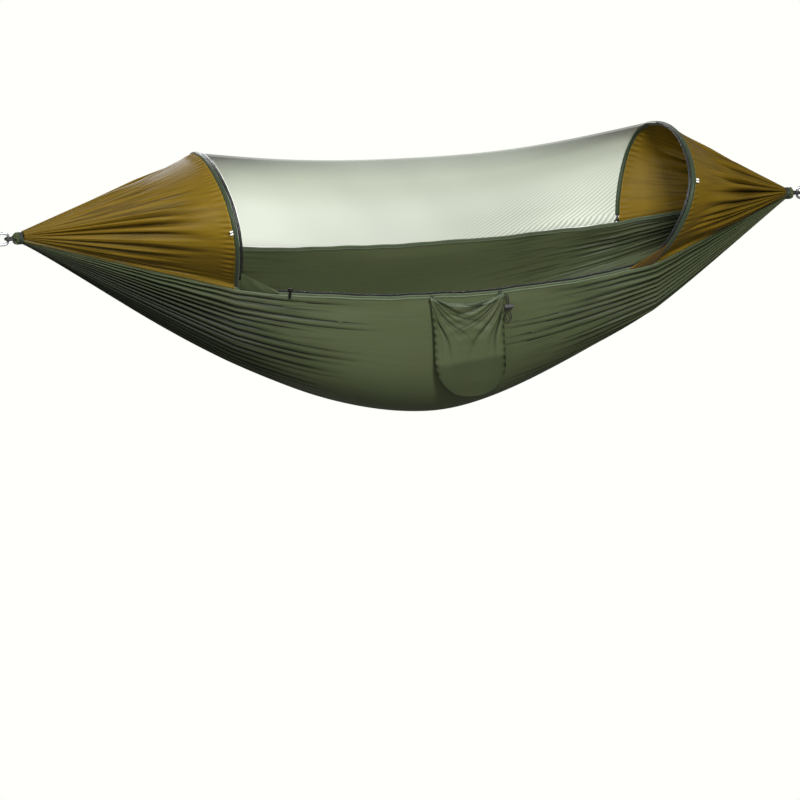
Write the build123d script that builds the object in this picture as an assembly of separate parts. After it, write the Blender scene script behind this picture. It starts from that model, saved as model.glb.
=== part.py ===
"""Camping hammock with two standing hoops, end canopies and a mosquito net, hung by two carabiners.

Millimetres, +Z up, +X along the hammock from the left carabiner to the right one, -Y the open side.
The origin is where the left hanging strap bears, inside the outer bow of the left carabiner.
Stations along the hammock are measured from the middle of the cloth and placed by along().
"""

from build123d import *
import os
from math import asin, atan, cos, degrees, pi, radians, sin, sqrt, tan

# ---- driving dimensions ------------------------------------------------------------------------
LEFT, RIGHT, NEAR, FAR = -1, 1, -1, 1

CLOTH_END = 1235.0  # station where the gathered cloth reaches its neck, each side
NECK_R = 17.0  # radius of the gathered neck
BUNDLE_L = 27.0  # length of the ruffled end outside the neck

KEEL_SAG = 626.0  # lowest point of the bed under the hanging line
KEEL_S = 40.0  # its station
KEEL_POWER = {LEFT: 1.107, RIGHT: 1.094}
KEEL_SLOPE = {LEFT: 0.304, RIGHT: 0.667}  # share of straight slope in the keel's curve
KEEL_ROUND = 0.15  # how far the straight slopes are rounded into each other

HOOP_S = {LEFT: -612.0, RIGHT: 746.0}  # stations of the hoop feet
HOOP_LEAN = {LEFT: 8.9, RIGHT: 16.8}  # outward lean from upright, degrees
FOOT_Z = -118.0  # height of the hoop feet, the fold axis
FOOT_HALF = 195.0  # half the distance between the two feet of a hoop
HOOP_OUTLINE = {  # half of each hoop, foot to crown, as its own canopy bows the pole
    LEFT: [(FOOT_HALF, 0), (250, 70), (290, 146), (286, 220), (242, 276), (162, 311), (54, 333)],
    RIGHT: [(FOOT_HALF, 0), (236, 42), (277, 113), (298, 196), (277, 272), (210, 322), (108, 355), (34, 365)],
}

RIM_DROP = 13.0  # rim under the hoop feet
RIM_SAG = 47.0  # extra sag of the rim at mid span
RIM_HALF_MID = 245.0  # half opening at mid span
WALL = 3.0  # thickness of the bed cloth as a closed solid
HEM_DEPTH, HEM_T = 12.0, 5.0
GAP = 0.3  # clearance between neighbouring soft pieces
BED_SEGMENTS, BED_BOX, BED_BULGE = 14, 0.8, 0.35
SPAN_STEPS = 10  # cloth sections between the hoops
CANOPY_T, NET_T = 2.4, 1.6

POLE_R, POLE_BORE, FERRULE_R, FERRULE_L = 4.0, 2.0, 5.2, 36.0
SLEEVE_R, SLEEVE_BORE = 7.5, 6.4
SHOCK_CORD_R = 1.4
TAG_SHARE = {LEFT: 0.2, RIGHT: 0.265}
TAG_W, TAG_L, TAG_T, TAG_PITCH, TAG_OUT, TAG_OUTBOARD = 5.0, 10.0, 1.2, 8.0, 6.0, 12.0
BALL_R, TIP_NECK_R, TIP_SOCKET_R = 5.0, 3.2, 6.2
TIP_NECK_END, TIP_END, POLE_START, SLEEVE_START = 14.0, 30.0, 18.0, 31.0
CUP_BORE, CUP_R, CUP_TOP = 5.3, 8.4, -4.4

NET_TOP_SHARE = {LEFT: 0.69, RIGHT: 0.66}  # the net's fold line meets each hoop at this share of its length
NET_PULL = 2.5  # how sharply the net turns from its hang at mid span to the hoops
NET_TOP_MID_Y, NET_TOP_MID_Z = 196.0, 120.0  # and passes here at mid span
NET_STATIONS, NET_SEGMENTS = 8, 7
DOOR_STANDOFF, DOOR_END = 7.0, 0.3  # the net door is thrown back over the far net

ROD_R, CLIP_L, CLIP_HALF, CLIP_BEND = 4.0, 72.0, 18.0, 12.0  # carabiner rod and its centre line
ROPE_R, BOW_REACH = 4.0, 26.0
GATE_R, GATE_TIP, NOSE, GATE_ROOT, HINGE_END, PIVOT = 3.4, 18.8, 18.0, 40.0, 42.0, 46.0
TONGUE_T, SLOT_W, RIVET_R = 2.8, 3.2, 1.5

POCKET_S, POCKET_W, POCKET_H, POCKET_T, POCKET_R = 108.0, 235.0, 325.0, 16.0, 85.0
POCKET_WALL, POCKET_HEM, POCKET_TILT = 2.0, 12.0, 5.8
CORD_R = 1.5
LOCK_X, LOCK_Z, LOCK_R, LOCK_L = 132.4, -45.0, 7.0, 25.0
LOCK_FLOOR, LOCK_WINDOW, LOCK_LIP = 2.2, 9.4, 0.6  # its solid end, and the cords' window through it
PLUNGER_R, PLUNGER_LOW, PLUNGER_PROUD, PLUNGER_TRAVEL = 4.6, -5.7, 5.5, 3.0
SPRING_T, CORD_SLOT = 1.4, 4.2

SLIDER_S = 165.0  # zip slider, inboard of the left hoop foot
TAPE_INSET = 26.0
HOOP_ZIP_W, HOOP_ZIP_T, HOOP_ZIP_END = 9.0, 1.6, 0.6  # strip of zip up each hoop, past its crown
GUSSET_TALL = {LEFT: 43.0, RIGHT: 70.0}  # cloth triangles between the near hoop feet and the rim
GUSSET_REACH = {LEFT: 130.0, RIGHT: 92.0}
GUSSET_START, GUSSET_OUT, GUSSET_SEAM, GUSSET_T = 12.0, 3.1, 6.0, 1.2

BOW_S = CLOTH_END + BUNDLE_L + BOW_REACH  # station of the rope's bow, each side
CROWN_S = BOW_S - ROD_R - ROPE_R - GAP  # station of the carabiner rod inside the bow
X_MID = CROWN_S + CLIP_L - ROD_R  # the hammock's middle in the frame


def along(s):
    """Station to X."""
    return s + X_MID


# ---- shape of the cloth ------------------------------------------------------------------------
def span_share(s):
    """0 midway between the hoop feet, -1 and 1 at the feet."""
    middle = (HOOP_S[LEFT] + HOOP_S[RIGHT]) / 2
    return (s - middle) / (HOOP_S[RIGHT] - middle)


def end_share(s):
    """0 at a hoop foot, 1 at the neck outboard of it."""
    side = LEFT if s < 0 else RIGHT
    return (s - HOOP_S[side]) / (side * CLOTH_END - HOOP_S[side])


def rim_half(s):
    if HOOP_S[LEFT] <= s <= HOOP_S[RIGHT]:
        return FOOT_HALF + (RIM_HALF_MID - FOOT_HALF) * (1 - span_share(s) ** 2)
    return FOOT_HALF + (NECK_R - 1 - FOOT_HALF) * end_share(s)


def rim_z(s):
    at_foot = FOOT_Z - RIM_DROP
    if HOOP_S[LEFT] <= s <= HOOP_S[RIGHT]:
        return at_foot - RIM_SAG * (1 - span_share(s) ** 2)
    return at_foot * (1 - end_share(s))


def keel_z(s):
    side = LEFT if s < KEEL_S else RIGHT
    share = min(1.0, abs(s - KEEL_S) / abs(side * CLOTH_END - KEEL_S))
    bowl = cos(pi / 2 * share) ** KEEL_POWER[side]
    top = 1 + KEEL_ROUND
    slope = top - sqrt(share**2 + KEEL_ROUND**2) - (top - sqrt(1 + KEEL_ROUND**2)) * share**2
    curve = bowl + (slope - bowl) * KEEL_SLOPE[side]
    return -NECK_R - (KEEL_SAG - NECK_R) * curve


def bed_wall(s, inset):
    """Points (y, z) of the bed's section from the near hem to the far hem, inset from outside."""
    top = rim_z(s) - HEM_DEPTH * min(1, rim_half(s) / 60) - GAP
    half, depth = rim_half(s) + WALL / 2, top - keel_z(s)
    points = []
    for i in range(BED_SEGMENTS + 1):
        a = pi * i / BED_SEGMENTS
        c = cos(a)
        y = -half * (abs(c) ** BED_BOX) * (1 if c >= 0 else -1) * (1 + BED_BULGE * sin(a))
        z = top - depth * sin(a) ** BED_BOX
        points.append(Vector(0, y, z))
    moved = []
    for i, p in enumerate(points):
        run = points[min(i + 1, BED_SEGMENTS)] - points[max(i - 1, 0)]
        inward = Vector(0, -run.Z, run.Y).normalized()
        if i in (0, BED_SEGMENTS):
            inward = Vector(0, -1 if i else 1, 0)
        moved.append(p + inward * inset)
    return moved


def closed_section(x, outer, inner):
    points = [Vector(x, p.Y, p.Z) for p in outer + inner[::-1]]
    return Wire(Polyline(*points, close=True).edges())


def ruled(sections):
    return Solid.make_loft(sections, ruled=True)


def spread(first, last, count):
    return [first + (last - first) * i / count for i in range(count + 1)]


def bed_stations():
    left = spread(-CLOTH_END, HOOP_S[LEFT], 5)
    right = spread(HOOP_S[RIGHT], CLOTH_END, 4)
    return left[:-1] + spread(HOOP_S[LEFT], HOOP_S[RIGHT], SPAN_STEPS) + right[1:]


def bed_panel():
    sections = [closed_section(along(s), bed_wall(s, 0), bed_wall(s, WALL)) for s in bed_stations()]
    return ruled(sections)


def rim_strip(side, stations, outline):
    """A strip along one rim: outline gives (outward, up) from the rim's top line."""
    sections = []
    for s in stations:
        points = [(along(s), side * (rim_half(s) + out), rim_z(s) + up) for out, up in outline(s)]
        sections.append(Wire(Polyline(*points, close=True).edges()))
    return ruled(sections)


def hem_outline(s):
    deep = HEM_DEPTH * min(1, rim_half(s) / 60)
    return [(-HEM_T / 2, -deep), (HEM_T / 2, -deep), (HEM_T / 2, 0), (-HEM_T / 2, 0)]


def tape_outline(s):
    left = [(-0.8, 0.8), (-0.8, 6), (-1.8, 6.6), (-1.8, 9)]
    return left + [(-y, z) for y, z in reversed(left)]


def tape_stations():
    inner = spread(HOOP_S[LEFT], HOOP_S[RIGHT], SPAN_STEPS)[1:-1]
    return [HOOP_S[LEFT] + TAPE_INSET] + inner + [HOOP_S[RIGHT] - TAPE_INSET]


# ---- hoops -------------------------------------------------------------------------------------
def hoop_plane(side, shift=0.0):
    """Plane of a hoop: local X is far (+Y), local Y runs up the lean, shift is outboard."""
    lean = radians(HOOP_LEAN[side])
    up = Vector(side * sin(lean), 0, cos(lean))
    return Plane(
        origin=(along(HOOP_S[side]) + side * shift, 0, FOOT_Z),
        x_dir=(0, 1, 0),
        z_dir=Vector(0, 1, 0).cross(up),
    )


def corner_radii(points):
    """The largest tangent arc that each corner's two runs allow."""
    radii = []
    for a, b, c in zip(points, points[1:], points[2:]):
        before, after = Vector(*b) - Vector(*a), Vector(*c) - Vector(*b)
        half_turn = radians(before.get_angle(after)) / 2
        radii.append(0.45 * min(before.length, after.length) / tan(half_turn))
    return radii


def rounded_path(points):
    return Wire(FilletPolyline(*points, radius=corner_radii(points)).edges())


def hoop_line(side):
    """The pole's centre line from the near foot over the top to the far foot, in its plane."""
    near = [(-u, v) for u, v in HOOP_OUTLINE[side]]
    return rounded_path(near + HOOP_OUTLINE[side][::-1])


def tube(path, start, end, r, bore=0.0):
    """A round tube along a length of a path."""
    total = path.length
    part = path.trim(start / total, end / total)
    ends = Plane(origin=part.position_at(0), z_dir=part.tangent_at(0))
    section = Circle(r) - Circle(bore) if bore else Circle(r)
    return sweep(ends * section, path=part)


def pole_breaks(total):
    return [POLE_START, total / 3, total * 2 / 3, total - POLE_START]


def hoop_pole_sections(path):
    stops = pole_breaks(path.length)
    pieces = [tube(path, a + GAP, b - GAP, POLE_R, POLE_BORE) for a, b in zip(stops, stops[1:])]
    return Compound(pieces)


def hoop_ferrules(path):
    middles = pole_breaks(path.length)[1:-1]
    pieces = [tube(path, m - FERRULE_L / 2, m + FERRULE_L / 2, FERRULE_R, POLE_R + 0.05) for m in middles]
    return Compound(pieces)


def hoop_tips(path):
    """A ball foot, a neck and a socket at each end of the pole."""
    pieces = []
    for end in (0, 1):
        foot = path.position_at(end)
        way = path.tangent_at(end) * (1 if end == 0 else -1)
        base = Plane(origin=foot, z_dir=way)
        tip = base * Sphere(BALL_R)
        tip += base * Cylinder(TIP_NECK_R, TIP_NECK_END, align=(Align.CENTER, Align.CENTER, Align.MIN))
        socket = Pos(0, 0, TIP_NECK_END - 1) * Cylinder(
            TIP_SOCKET_R, TIP_END - TIP_NECK_END + 1, align=(Align.CENTER, Align.CENTER, Align.MIN)
        )
        bore = Pos(0, 0, POLE_START) * Cylinder(
            POLE_R + 0.05, TIP_END, align=(Align.CENTER, Align.CENTER, Align.MIN)
        )
        tip += base * (socket - bore)
        pieces.append(tip.solid())
    return Compound(pieces)


def hoop_tag(path, share, side):
    """Two blank sewn tabs beside each other on the outboard edge of the sleeve."""
    spot = path.position_at(share)
    way = path.tangent_at(share)
    outward = Vector(way.Y, -way.X, 0)
    if outward.X * spot.X < 0:
        outward = outward * -1
    pieces = []
    for step in (-TAG_PITCH / 2, TAG_PITCH / 2):
        centre = spot + outward * TAG_OUT + way * step + Vector(0, 0, side * TAG_OUTBOARD)
        pieces.append(Plane(origin=centre, x_dir=way, z_dir=outward) * Box(TAG_W, TAG_L, TAG_T))
    return Compound(pieces)


def hoop_zip(path, side):
    """Zip strip along the inboard edge of the sleeve, from the near foot to past the crown."""
    start = SLEEVE_START / path.length
    part = path.trim(start, HOOP_ZIP_END)
    section = Plane(origin=part.position_at(0), x_dir=(0, 0, 1), z_dir=part.tangent_at(0))
    inboard = -side * (SLEEVE_R + HOOP_ZIP_W / 2 + 2 * GAP)
    return sweep(section * Pos(inboard, 0, 0) * Rectangle(HOOP_ZIP_W, HOOP_ZIP_T), path=part)


def hoop_nodes(side, name):
    path = hoop_line(side)
    total = path.length
    place = hoop_plane(side).location
    pieces = {
        "hoop_sleeve": tube(path, SLEEVE_START, total - SLEEVE_START, SLEEVE_R, SLEEVE_BORE),
        "hoop_pole_sections": hoop_pole_sections(path),
        "hoop_ferrules": hoop_ferrules(path),
        "hoop_shock_cord": tube(path, POLE_START + 1, total - POLE_START - 1, SHOCK_CORD_R),
        "hoop_tips": hoop_tips(path),
        "hoop_tag": hoop_tag(path, TAG_SHARE[side], side),
        "hoop_zip": hoop_zip(path, side),
    }
    return {f"{key}_{name}": place * shape for key, shape in pieces.items()}


def hoop_anchors(side):
    """Webbing cups on the rims that hold the hoop's two ball feet."""
    pieces = []
    for rim in (NEAR, FAR):
        cup = Sphere(CUP_R) - Sphere(CUP_BORE)
        cup -= Pos(0, 0, CUP_TOP + 20) * Box(40, 40, 40)
        cup += Pos(0, 0, -CUP_R - 0.5) * Box(20, 8, 1.6)
        pieces.append((Pos(along(HOOP_S[side]), rim * FOOT_HALF, FOOT_Z) * cup).solid())
    return Compound(pieces)


# ---- canopies and net --------------------------------------------------------------------------
def hoop_arch(side, count):
    """Points (u, v) of the pole's centre line from the near foot to the far foot."""
    path = hoop_line(side)
    return [path.position_at(i / count) for i in range(count + 1)]


def canopy(side):
    """Cone of cloth from the hoop to the gathered neck, open below."""
    arch = hoop_arch(side, 18)
    shift = SLEEVE_R + 2
    plane = hoop_plane(side, shift)
    widest = max(p.X for p in arch)
    highest = max(p.Y for p in arch)
    end_x = along(side * (CLOTH_END - 1))
    at_hoop, at_neck = [], []
    for grow in (0, CANOPY_T):
        ring, neck = [], []
        for p in arch:
            low = max(p.Y, 3.0)
            flat = Vector(p.X * (1 - grow / widest), low * (1 - grow / highest), 0)
            ring.append(plane.from_local_coords(flat))
            y = p.X / widest * (NECK_R - grow)
            z = 2 + (low / highest) * (NECK_R - 2 - grow)
            neck.append(Vector(end_x, y, z))
        at_hoop.append(ring)
        at_neck.append(neck)
    sections = []
    for outer, inner in (at_hoop, at_neck):
        sections.append(Wire(Polyline(*(outer + inner[::-1]), close=True).edges()))
    return ruled(sections)


def net_line(s, standoff=0.0, start=0.0):
    """Points (y, z) up the far net at a station, from the rim (start 0) to its fold line."""
    near_hoop = abs(span_share(s)) ** NET_PULL
    side = LEFT if span_share(s) < 0 else RIGHT
    path = hoop_line(side)
    tall = cos(radians(HOOP_LEAN[side]))
    low = Vector(0, rim_half(s), rim_z(s) + 2)
    high = Vector(0, NET_TOP_MID_Y, NET_TOP_MID_Z)
    points = []
    for i in range(NET_SEGMENTS + 1):
        t = start + (1 - start) * i / NET_SEGMENTS
        on_hoop = path.position_at(1 - t * (1 - NET_TOP_SHARE[side]))
        curved = Vector(0, on_hoop.X, FOOT_Z + max(on_hoop.Y, 4) * tall)
        straight = low + (high - low) * t
        points.append(straight + (curved - straight) * near_hoop)
    moved = []
    for i, p in enumerate(points):
        run = points[min(i + 1, NET_SEGMENTS)] - points[max(i - 1, 0)]
        moved.append(p + Vector(0, run.Z, -run.Y).normalized() * standoff)
    return moved


def net_x(s, z):
    """X of a net point: the net's ends lean with the hoops."""
    side = LEFT if span_share(s) < 0 else RIGHT
    lean = tan(radians(HOOP_LEAN[side])) * (z - FOOT_Z) * side
    return along(s) + lean * abs(span_share(s)) ** 3


def net_sheet(standoff=0.0, start=0.0):
    clear = SLEEVE_R + 3
    first, last = HOOP_S[LEFT] + clear, HOOP_S[RIGHT] - clear
    sections = []
    for i in range(NET_STATIONS + 1):
        s = first + (last - first) * i / NET_STATIONS
        inner = net_line(s, standoff, start)
        outer = net_line(s, standoff + NET_T, start)
        ring = [Vector(net_x(s, p.Z), p.Y, p.Z) for p in outer + inner[::-1]]
        sections.append(Wire(Polyline(*ring, close=True).edges()))
    return ruled(sections)


# ---- hanging ends ------------------------------------------------------------------------------
def end_channel(side):
    """The ruffled end of the cloth outside its neck, round about X."""
    start, end = CLOTH_END + GAP, CLOTH_END + BUNDLE_L
    profile = Polyline(
        (start, 0), (start, NECK_R - 1), (start + 9, NECK_R - 3), (end - 5, NECK_R + 4), (end, NECK_R), (end, 0),
        close=True,
    )
    solid = revolve(make_face(profile), axis=Axis.X)
    return placed_end(side, solid)


def end_binding(side):
    """Cord wound round the neck of the ruffle."""
    middle = CLOTH_END + 9
    ring = Cylinder(NECK_R + 3, 8) - Cylinder(NECK_R + 0.6, 8)
    return placed_end(side, Pos(middle, 0, 0) * Rot(0, 90, 0) * ring)


def placed_end(side, shape):
    """Right-hand ends are drawn at their stations, and left-hand ones are mirrored."""
    if side == LEFT:
        shape = shape.mirror(Plane.YZ)
    return Pos(X_MID, 0, 0) * shape


def end_loop(side):
    y = ROD_R + ROPE_R + GAP
    start = CLOTH_END + BUNDLE_L + 0.1
    route = [(start, -y), (BOW_S, -y), (BOW_S, y), (start, y)]
    path = Wire(FilletPolyline(*route, radius=y - 0.05).edges())
    section = Plane(origin=path.position_at(0), z_dir=path.tangent_at(0)) * Circle(ROPE_R)
    return placed_end(side, sweep(section, path=path))


def in_clip(shape):
    """Carabiner drawings have X from the strap's bow inward and Y up: stand them in the XZ plane."""
    return Rot(90, 0, 0) * shape


def clip_frame():
    h = CLIP_HALF
    route = [(NOSE, h), (-ROD_R, h), (-ROD_R, -h), (CLIP_L - ROD_R, -h), (CLIP_L - ROD_R, h), (HINGE_END, h)]
    path = Wire(FilletPolyline(*route, radius=CLIP_BEND).edges())
    section = Plane(origin=path.position_at(0), z_dir=path.tangent_at(0)) * Circle(ROD_R)
    frame = sweep(section, path=path)
    frame -= Pos(HINGE_END + 4, h, 0) * Box(10, 10, SLOT_W)
    frame -= Pos(PIVOT, h, 0) * Cylinder(RIVET_R, 20)
    return in_clip(frame)


def clip_gate():
    h = CLIP_HALF
    length = GATE_ROOT - GATE_TIP
    bar = Pos((GATE_TIP + GATE_ROOT) / 2, h, 0) * Rot(0, 90, 0) * Cylinder(GATE_R, length)
    tongue = Pos((GATE_ROOT - 3 + PIVOT) / 2, h, 0) * Box(PIVOT - GATE_ROOT + 3, 4.8, TONGUE_T)
    tongue += Pos(PIVOT, h, 0) * Cylinder(2.4, TONGUE_T)
    gate = bar + tongue - Pos(PIVOT, h, 0) * Cylinder(RIVET_R + 0.05, 20)
    gate -= Pos(GATE_TIP + 9, h, 0) * Rot(0, 90, 0) * Cylinder(1.8, 13)
    return in_clip(gate)


def clip_spring():
    coil = Cylinder(1.6, 12.4) - Cylinder(1.0, 12.4)
    return in_clip(Pos(GATE_TIP + 9, CLIP_HALF, 0) * Rot(0, 90, 0) * coil)


def clip_rivet():
    rivet = Cylinder(RIVET_R, 2 * ROD_R + 1)
    return in_clip(Pos(PIVOT, CLIP_HALF, 0) * rivet)


def clip_nodes(side, name):
    pieces = {
        "carabiner_frame": clip_frame(),
        "carabiner_gate": clip_gate(),
        "gate_spring": clip_spring(),
        "gate_rivet": clip_rivet(),
    }
    turn = Pos(2 * X_MID, 0, 0) * Rot(0, 0, 180) if side == RIGHT else Pos(0, 0, 0)
    return {f"{key}_{name}": turn * shape for key, shape in pieces.items()}


# ---- pocket ------------------------------------------------------------------------------------
def pocket_place():
    """The pocket hangs from its top seam on the near hem: local X along, Y out of the bed, Z up."""
    y = -(rim_half(POCKET_S) + HEM_T / 2 + 3.2)
    return Pos(along(POCKET_S), y, rim_z(POCKET_S) - 3) * Rot(-POCKET_TILT, 0, 0)


def pocket_bag():
    bottom, top = -POCKET_H, -POCKET_HEM - GAP
    outline = Pos(0, (bottom + top) / 2) * Rectangle(POCKET_W, top - bottom)
    low = outline.vertices().sort_by(Axis.Y)[:2]
    outline = fillet(low, POCKET_R)
    block = extrude(Plane.XZ * outline, POCKET_T)
    mouth = block.faces().sort_by(Axis.Z)[-1]
    return offset(block, amount=-POCKET_WALL, openings=mouth)


def pocket_hem():
    band = Box(POCKET_W + 1, POCKET_T + 1, POCKET_HEM) - Box(POCKET_W - 6, POCKET_T - 6, POCKET_HEM)
    return Pos(0, -POCKET_T / 2, -POCKET_HEM / 2) * band


def drawstring():
    """Loop of cord out of the hem, down through the cord lock and back."""
    edge = POCKET_W / 2 + 0.6
    route = [
        (edge, -10.4), (124.6, -10.5), (129.8, -22), (130.2, -40), (129.8, -58), (124.5, -72), (126.5, -87),
        (136.5, -94), (144.5, -84), (142, -70), (134.9, -57), (134.7, -40), (135.1, -22), (129.5, -5.2), (edge, -4.4),
    ]
    points = [(x, -POCKET_T / 2, z) for x, z in route]
    radii = corner_radii(points)
    print("drawstring radii", [round(r, 1) for r in radii])
    path = Wire(FilletPolyline(*points, radius=radii).edges())
    section = Plane(origin=path.position_at(0), z_dir=path.tangent_at(0)) * Circle(CORD_R)
    solid = sweep(section, path=path)
    print("drawstring length", round(path.length, 1), "volume ratio", solid.volume / (path.length * pi * CORD_R**2))
    return solid


def in_lock(shape):
    """Cord lock drawings have X along the plunger, from the middle of the cords' window."""
    return Pos(LOCK_X, -POCKET_T / 2, LOCK_Z) * shape


def lock_rod(r, low, high):
    return Pos((low + high) / 2, 0, 0) * Rot(0, 90, 0) * Cylinder(r, high - low)


def lock_bore_floor():
    return -LOCK_L / 2 + LOCK_FLOOR


def cord_lock_body():
    body = lock_rod(LOCK_R, -LOCK_L / 2, LOCK_L / 2)
    body -= lock_rod(PLUNGER_R + 0.1, lock_bore_floor(), LOCK_L)
    body -= Box(LOCK_WINDOW, CORD_SLOT, 30)
    return in_lock(body)


def cord_lock_plunger():
    """A button with a slot for the two cords, long enough for the plunger's travel."""
    stem = lock_rod(PLUNGER_R, PLUNGER_LOW, LOCK_L / 2 + PLUNGER_PROUD)
    slot = LOCK_WINDOW - 2 * LOCK_LIP + PLUNGER_TRAVEL
    stem -= Pos(PLUNGER_TRAVEL / 2, 0, 0) * Box(slot, CORD_SLOT, 30)
    return in_lock(stem)


def cord_lock_spring():
    """The spring pressed flat against the lock's floor."""
    coil = Cylinder(3.2, SPRING_T) - Cylinder(2.2, SPRING_T)
    return in_lock(Pos(lock_bore_floor() + SPRING_T / 2, 0, 0) * Rot(0, 90, 0) * coil)


def pocket_tabs():
    """Two sewn tabs between the near hem and the pocket's top corners."""
    y = -(rim_half(POCKET_S) + HEM_T / 2 + 1)
    pieces = []
    for end in (-1, 1):
        s = POCKET_S + end * (POCKET_W / 2 - 8)
        pieces.append(Pos(along(s), y, rim_z(s) - 8) * Box(10, 1.2, 15))
    return Compound(pieces)


# ---- foot gussets ------------------------------------------------------------------------------
def foot_gusset(side):
    """Triangle of cloth in the corner between a hoop's near foot and the rim."""
    lean, tall = radians(HOOP_LEAN[side]), GUSSET_TALL[side]
    (low_half, _), (high_half, high_up) = HOOP_OUTLINE[side][:2]
    peak_half = low_half + (high_half - low_half) * tall / high_up + HOOP_ZIP_T / 2 + 2 * GAP
    peak_z = FOOT_Z + cos(lean) * tall
    peak_shift = sin(lean) * tall + GUSSET_START - SLEEVE_R - 2
    sections = []
    for share in (0, 0.35, 0.7, 1):
        left = 1 - share
        s = HOOP_S[side] - side * (GUSSET_START + (GUSSET_REACH[side] - GUSSET_START) * share)
        low_y, low_z = rim_half(s) + GUSSET_OUT, rim_z(s) - GUSSET_SEAM
        top_y = low_y + (peak_half - low_y) * left
        top_z = rim_z(s) + 1 + (peak_z - rim_z(s) - 1) * left
        low_x, top_x = along(s), along(s + side * left * peak_shift)
        ring = [
            (low_x, -low_y, low_z), (low_x, -low_y - GUSSET_T, low_z),
            (top_x, -top_y - GUSSET_T, top_z), (top_x, -top_y, top_z),
        ]
        sections.append(Wire(Polyline(*ring, close=True).edges()))
    return ruled(sections)


# ---- zip ---------------------------------------------------------------------------------------
def zip_place():
    """Top of the near rim at the slider: local X along the tape, Y towards the far side."""
    s = HOOP_S[LEFT] + SLIDER_S
    step = 15.0
    slope = degrees(atan((rim_z(s + 3 * step) - rim_z(s - step)) / (4 * step)))
    return Pos(along(s), -rim_half(s), rim_z(s)) * Rot(0, -slope, 0) * Rot(0, 0, zip_yaw(s))


def zip_yaw(s):
    return -degrees(asin((rim_half(s + 45) - rim_half(s - 15)) / 60))


def zip_slider():
    body = Pos(0, 0, 8.0) * Box(12, 9, 9)
    body -= Pos(0, 0, 7.7) * Box(14, 5.2, 4.4)
    body -= Pos(0, 0, 4.5) * Box(14, 3.0, 8)
    lug = Pos(0, -6.9, 8.5) * Box(2.4, 5, 5)
    lug -= Pos(0, -7.6, 8.5) * Rot(0, 90, 0) * Cylinder(0.9, 10)
    return zip_place() * (body + lug)


def zip_pull():
    pull = Pos(0, -7.6, 8.5) * Rot(0, 90, 0) * Cylinder(0.85, 7)
    for end in (-1, 1):
        pull += Pos(end * 2.6, -7.6, 6.2) * Box(1.8, 1.4, 6.6)
    pull += Pos(0, -7.6, -7.0) * Box(7, 1.4, 20.4)
    return zip_place() * pull


# ---- all the pieces ----------------------------------------------------------------------------
def all_nodes():
    hem_stations = bed_stations()
    nodes = {
        "bed_panel": bed_panel(),
        "near_edge_hem": rim_strip(NEAR, hem_stations, hem_outline),
        "far_edge_hem": rim_strip(FAR, hem_stations, hem_outline),
        "near_zip_tape": rim_strip(NEAR, tape_stations(), tape_outline),
        "far_net_panel": net_sheet(),
        "net_door_flap": net_sheet(DOOR_STANDOFF, DOOR_END),
        "zip_slider": zip_slider(),
        "zip_pull_tab": zip_pull(),
        "pocket_corner_tabs": pocket_tabs(),
    }
    hang = pocket_place()
    nodes["pocket_bag"] = hang * pocket_bag()
    nodes["pocket_top_hem"] = hang * pocket_hem()
    nodes["pocket_drawstring"] = hang * drawstring()
    nodes["cord_lock_body"] = hang * cord_lock_body()
    nodes["cord_lock_plunger"] = hang * cord_lock_plunger()
    nodes["cord_lock_spring"] = hang * cord_lock_spring()
    for side, name in ((LEFT, "left"), (RIGHT, "right")):
        nodes[f"{name}_end_canopy"] = canopy(side)
        nodes[f"end_channel_{name}"] = end_channel(side)
        nodes[f"end_binding_{name}"] = end_binding(side)
        nodes[f"end_rope_loop_{name}"] = end_loop(side)
        nodes[f"hoop_anchor_cups_{name}"] = hoop_anchors(side)
        nodes[f"foot_gusset_{name}"] = foot_gusset(side)
        nodes.update(hoop_nodes(side, name))
        nodes.update(clip_nodes(side, name))
    return nodes


os.makedirs("parts", exist_ok=True)
for node, shape in all_nodes().items():
    export_step(shape, f"parts/{node}.step")
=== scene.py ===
"""Looks of the camping hammock: gathered nylon bed, end canopies on two hoops, a net and a pocket.

Metres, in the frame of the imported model: +X from the left carabiner to the right one, -Y the open
side, +Z up. Stations run along the hammock from its middle, and along() turns one into X.
"""

import math

import bpy
import numpy as np
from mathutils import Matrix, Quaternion, Vector


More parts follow.
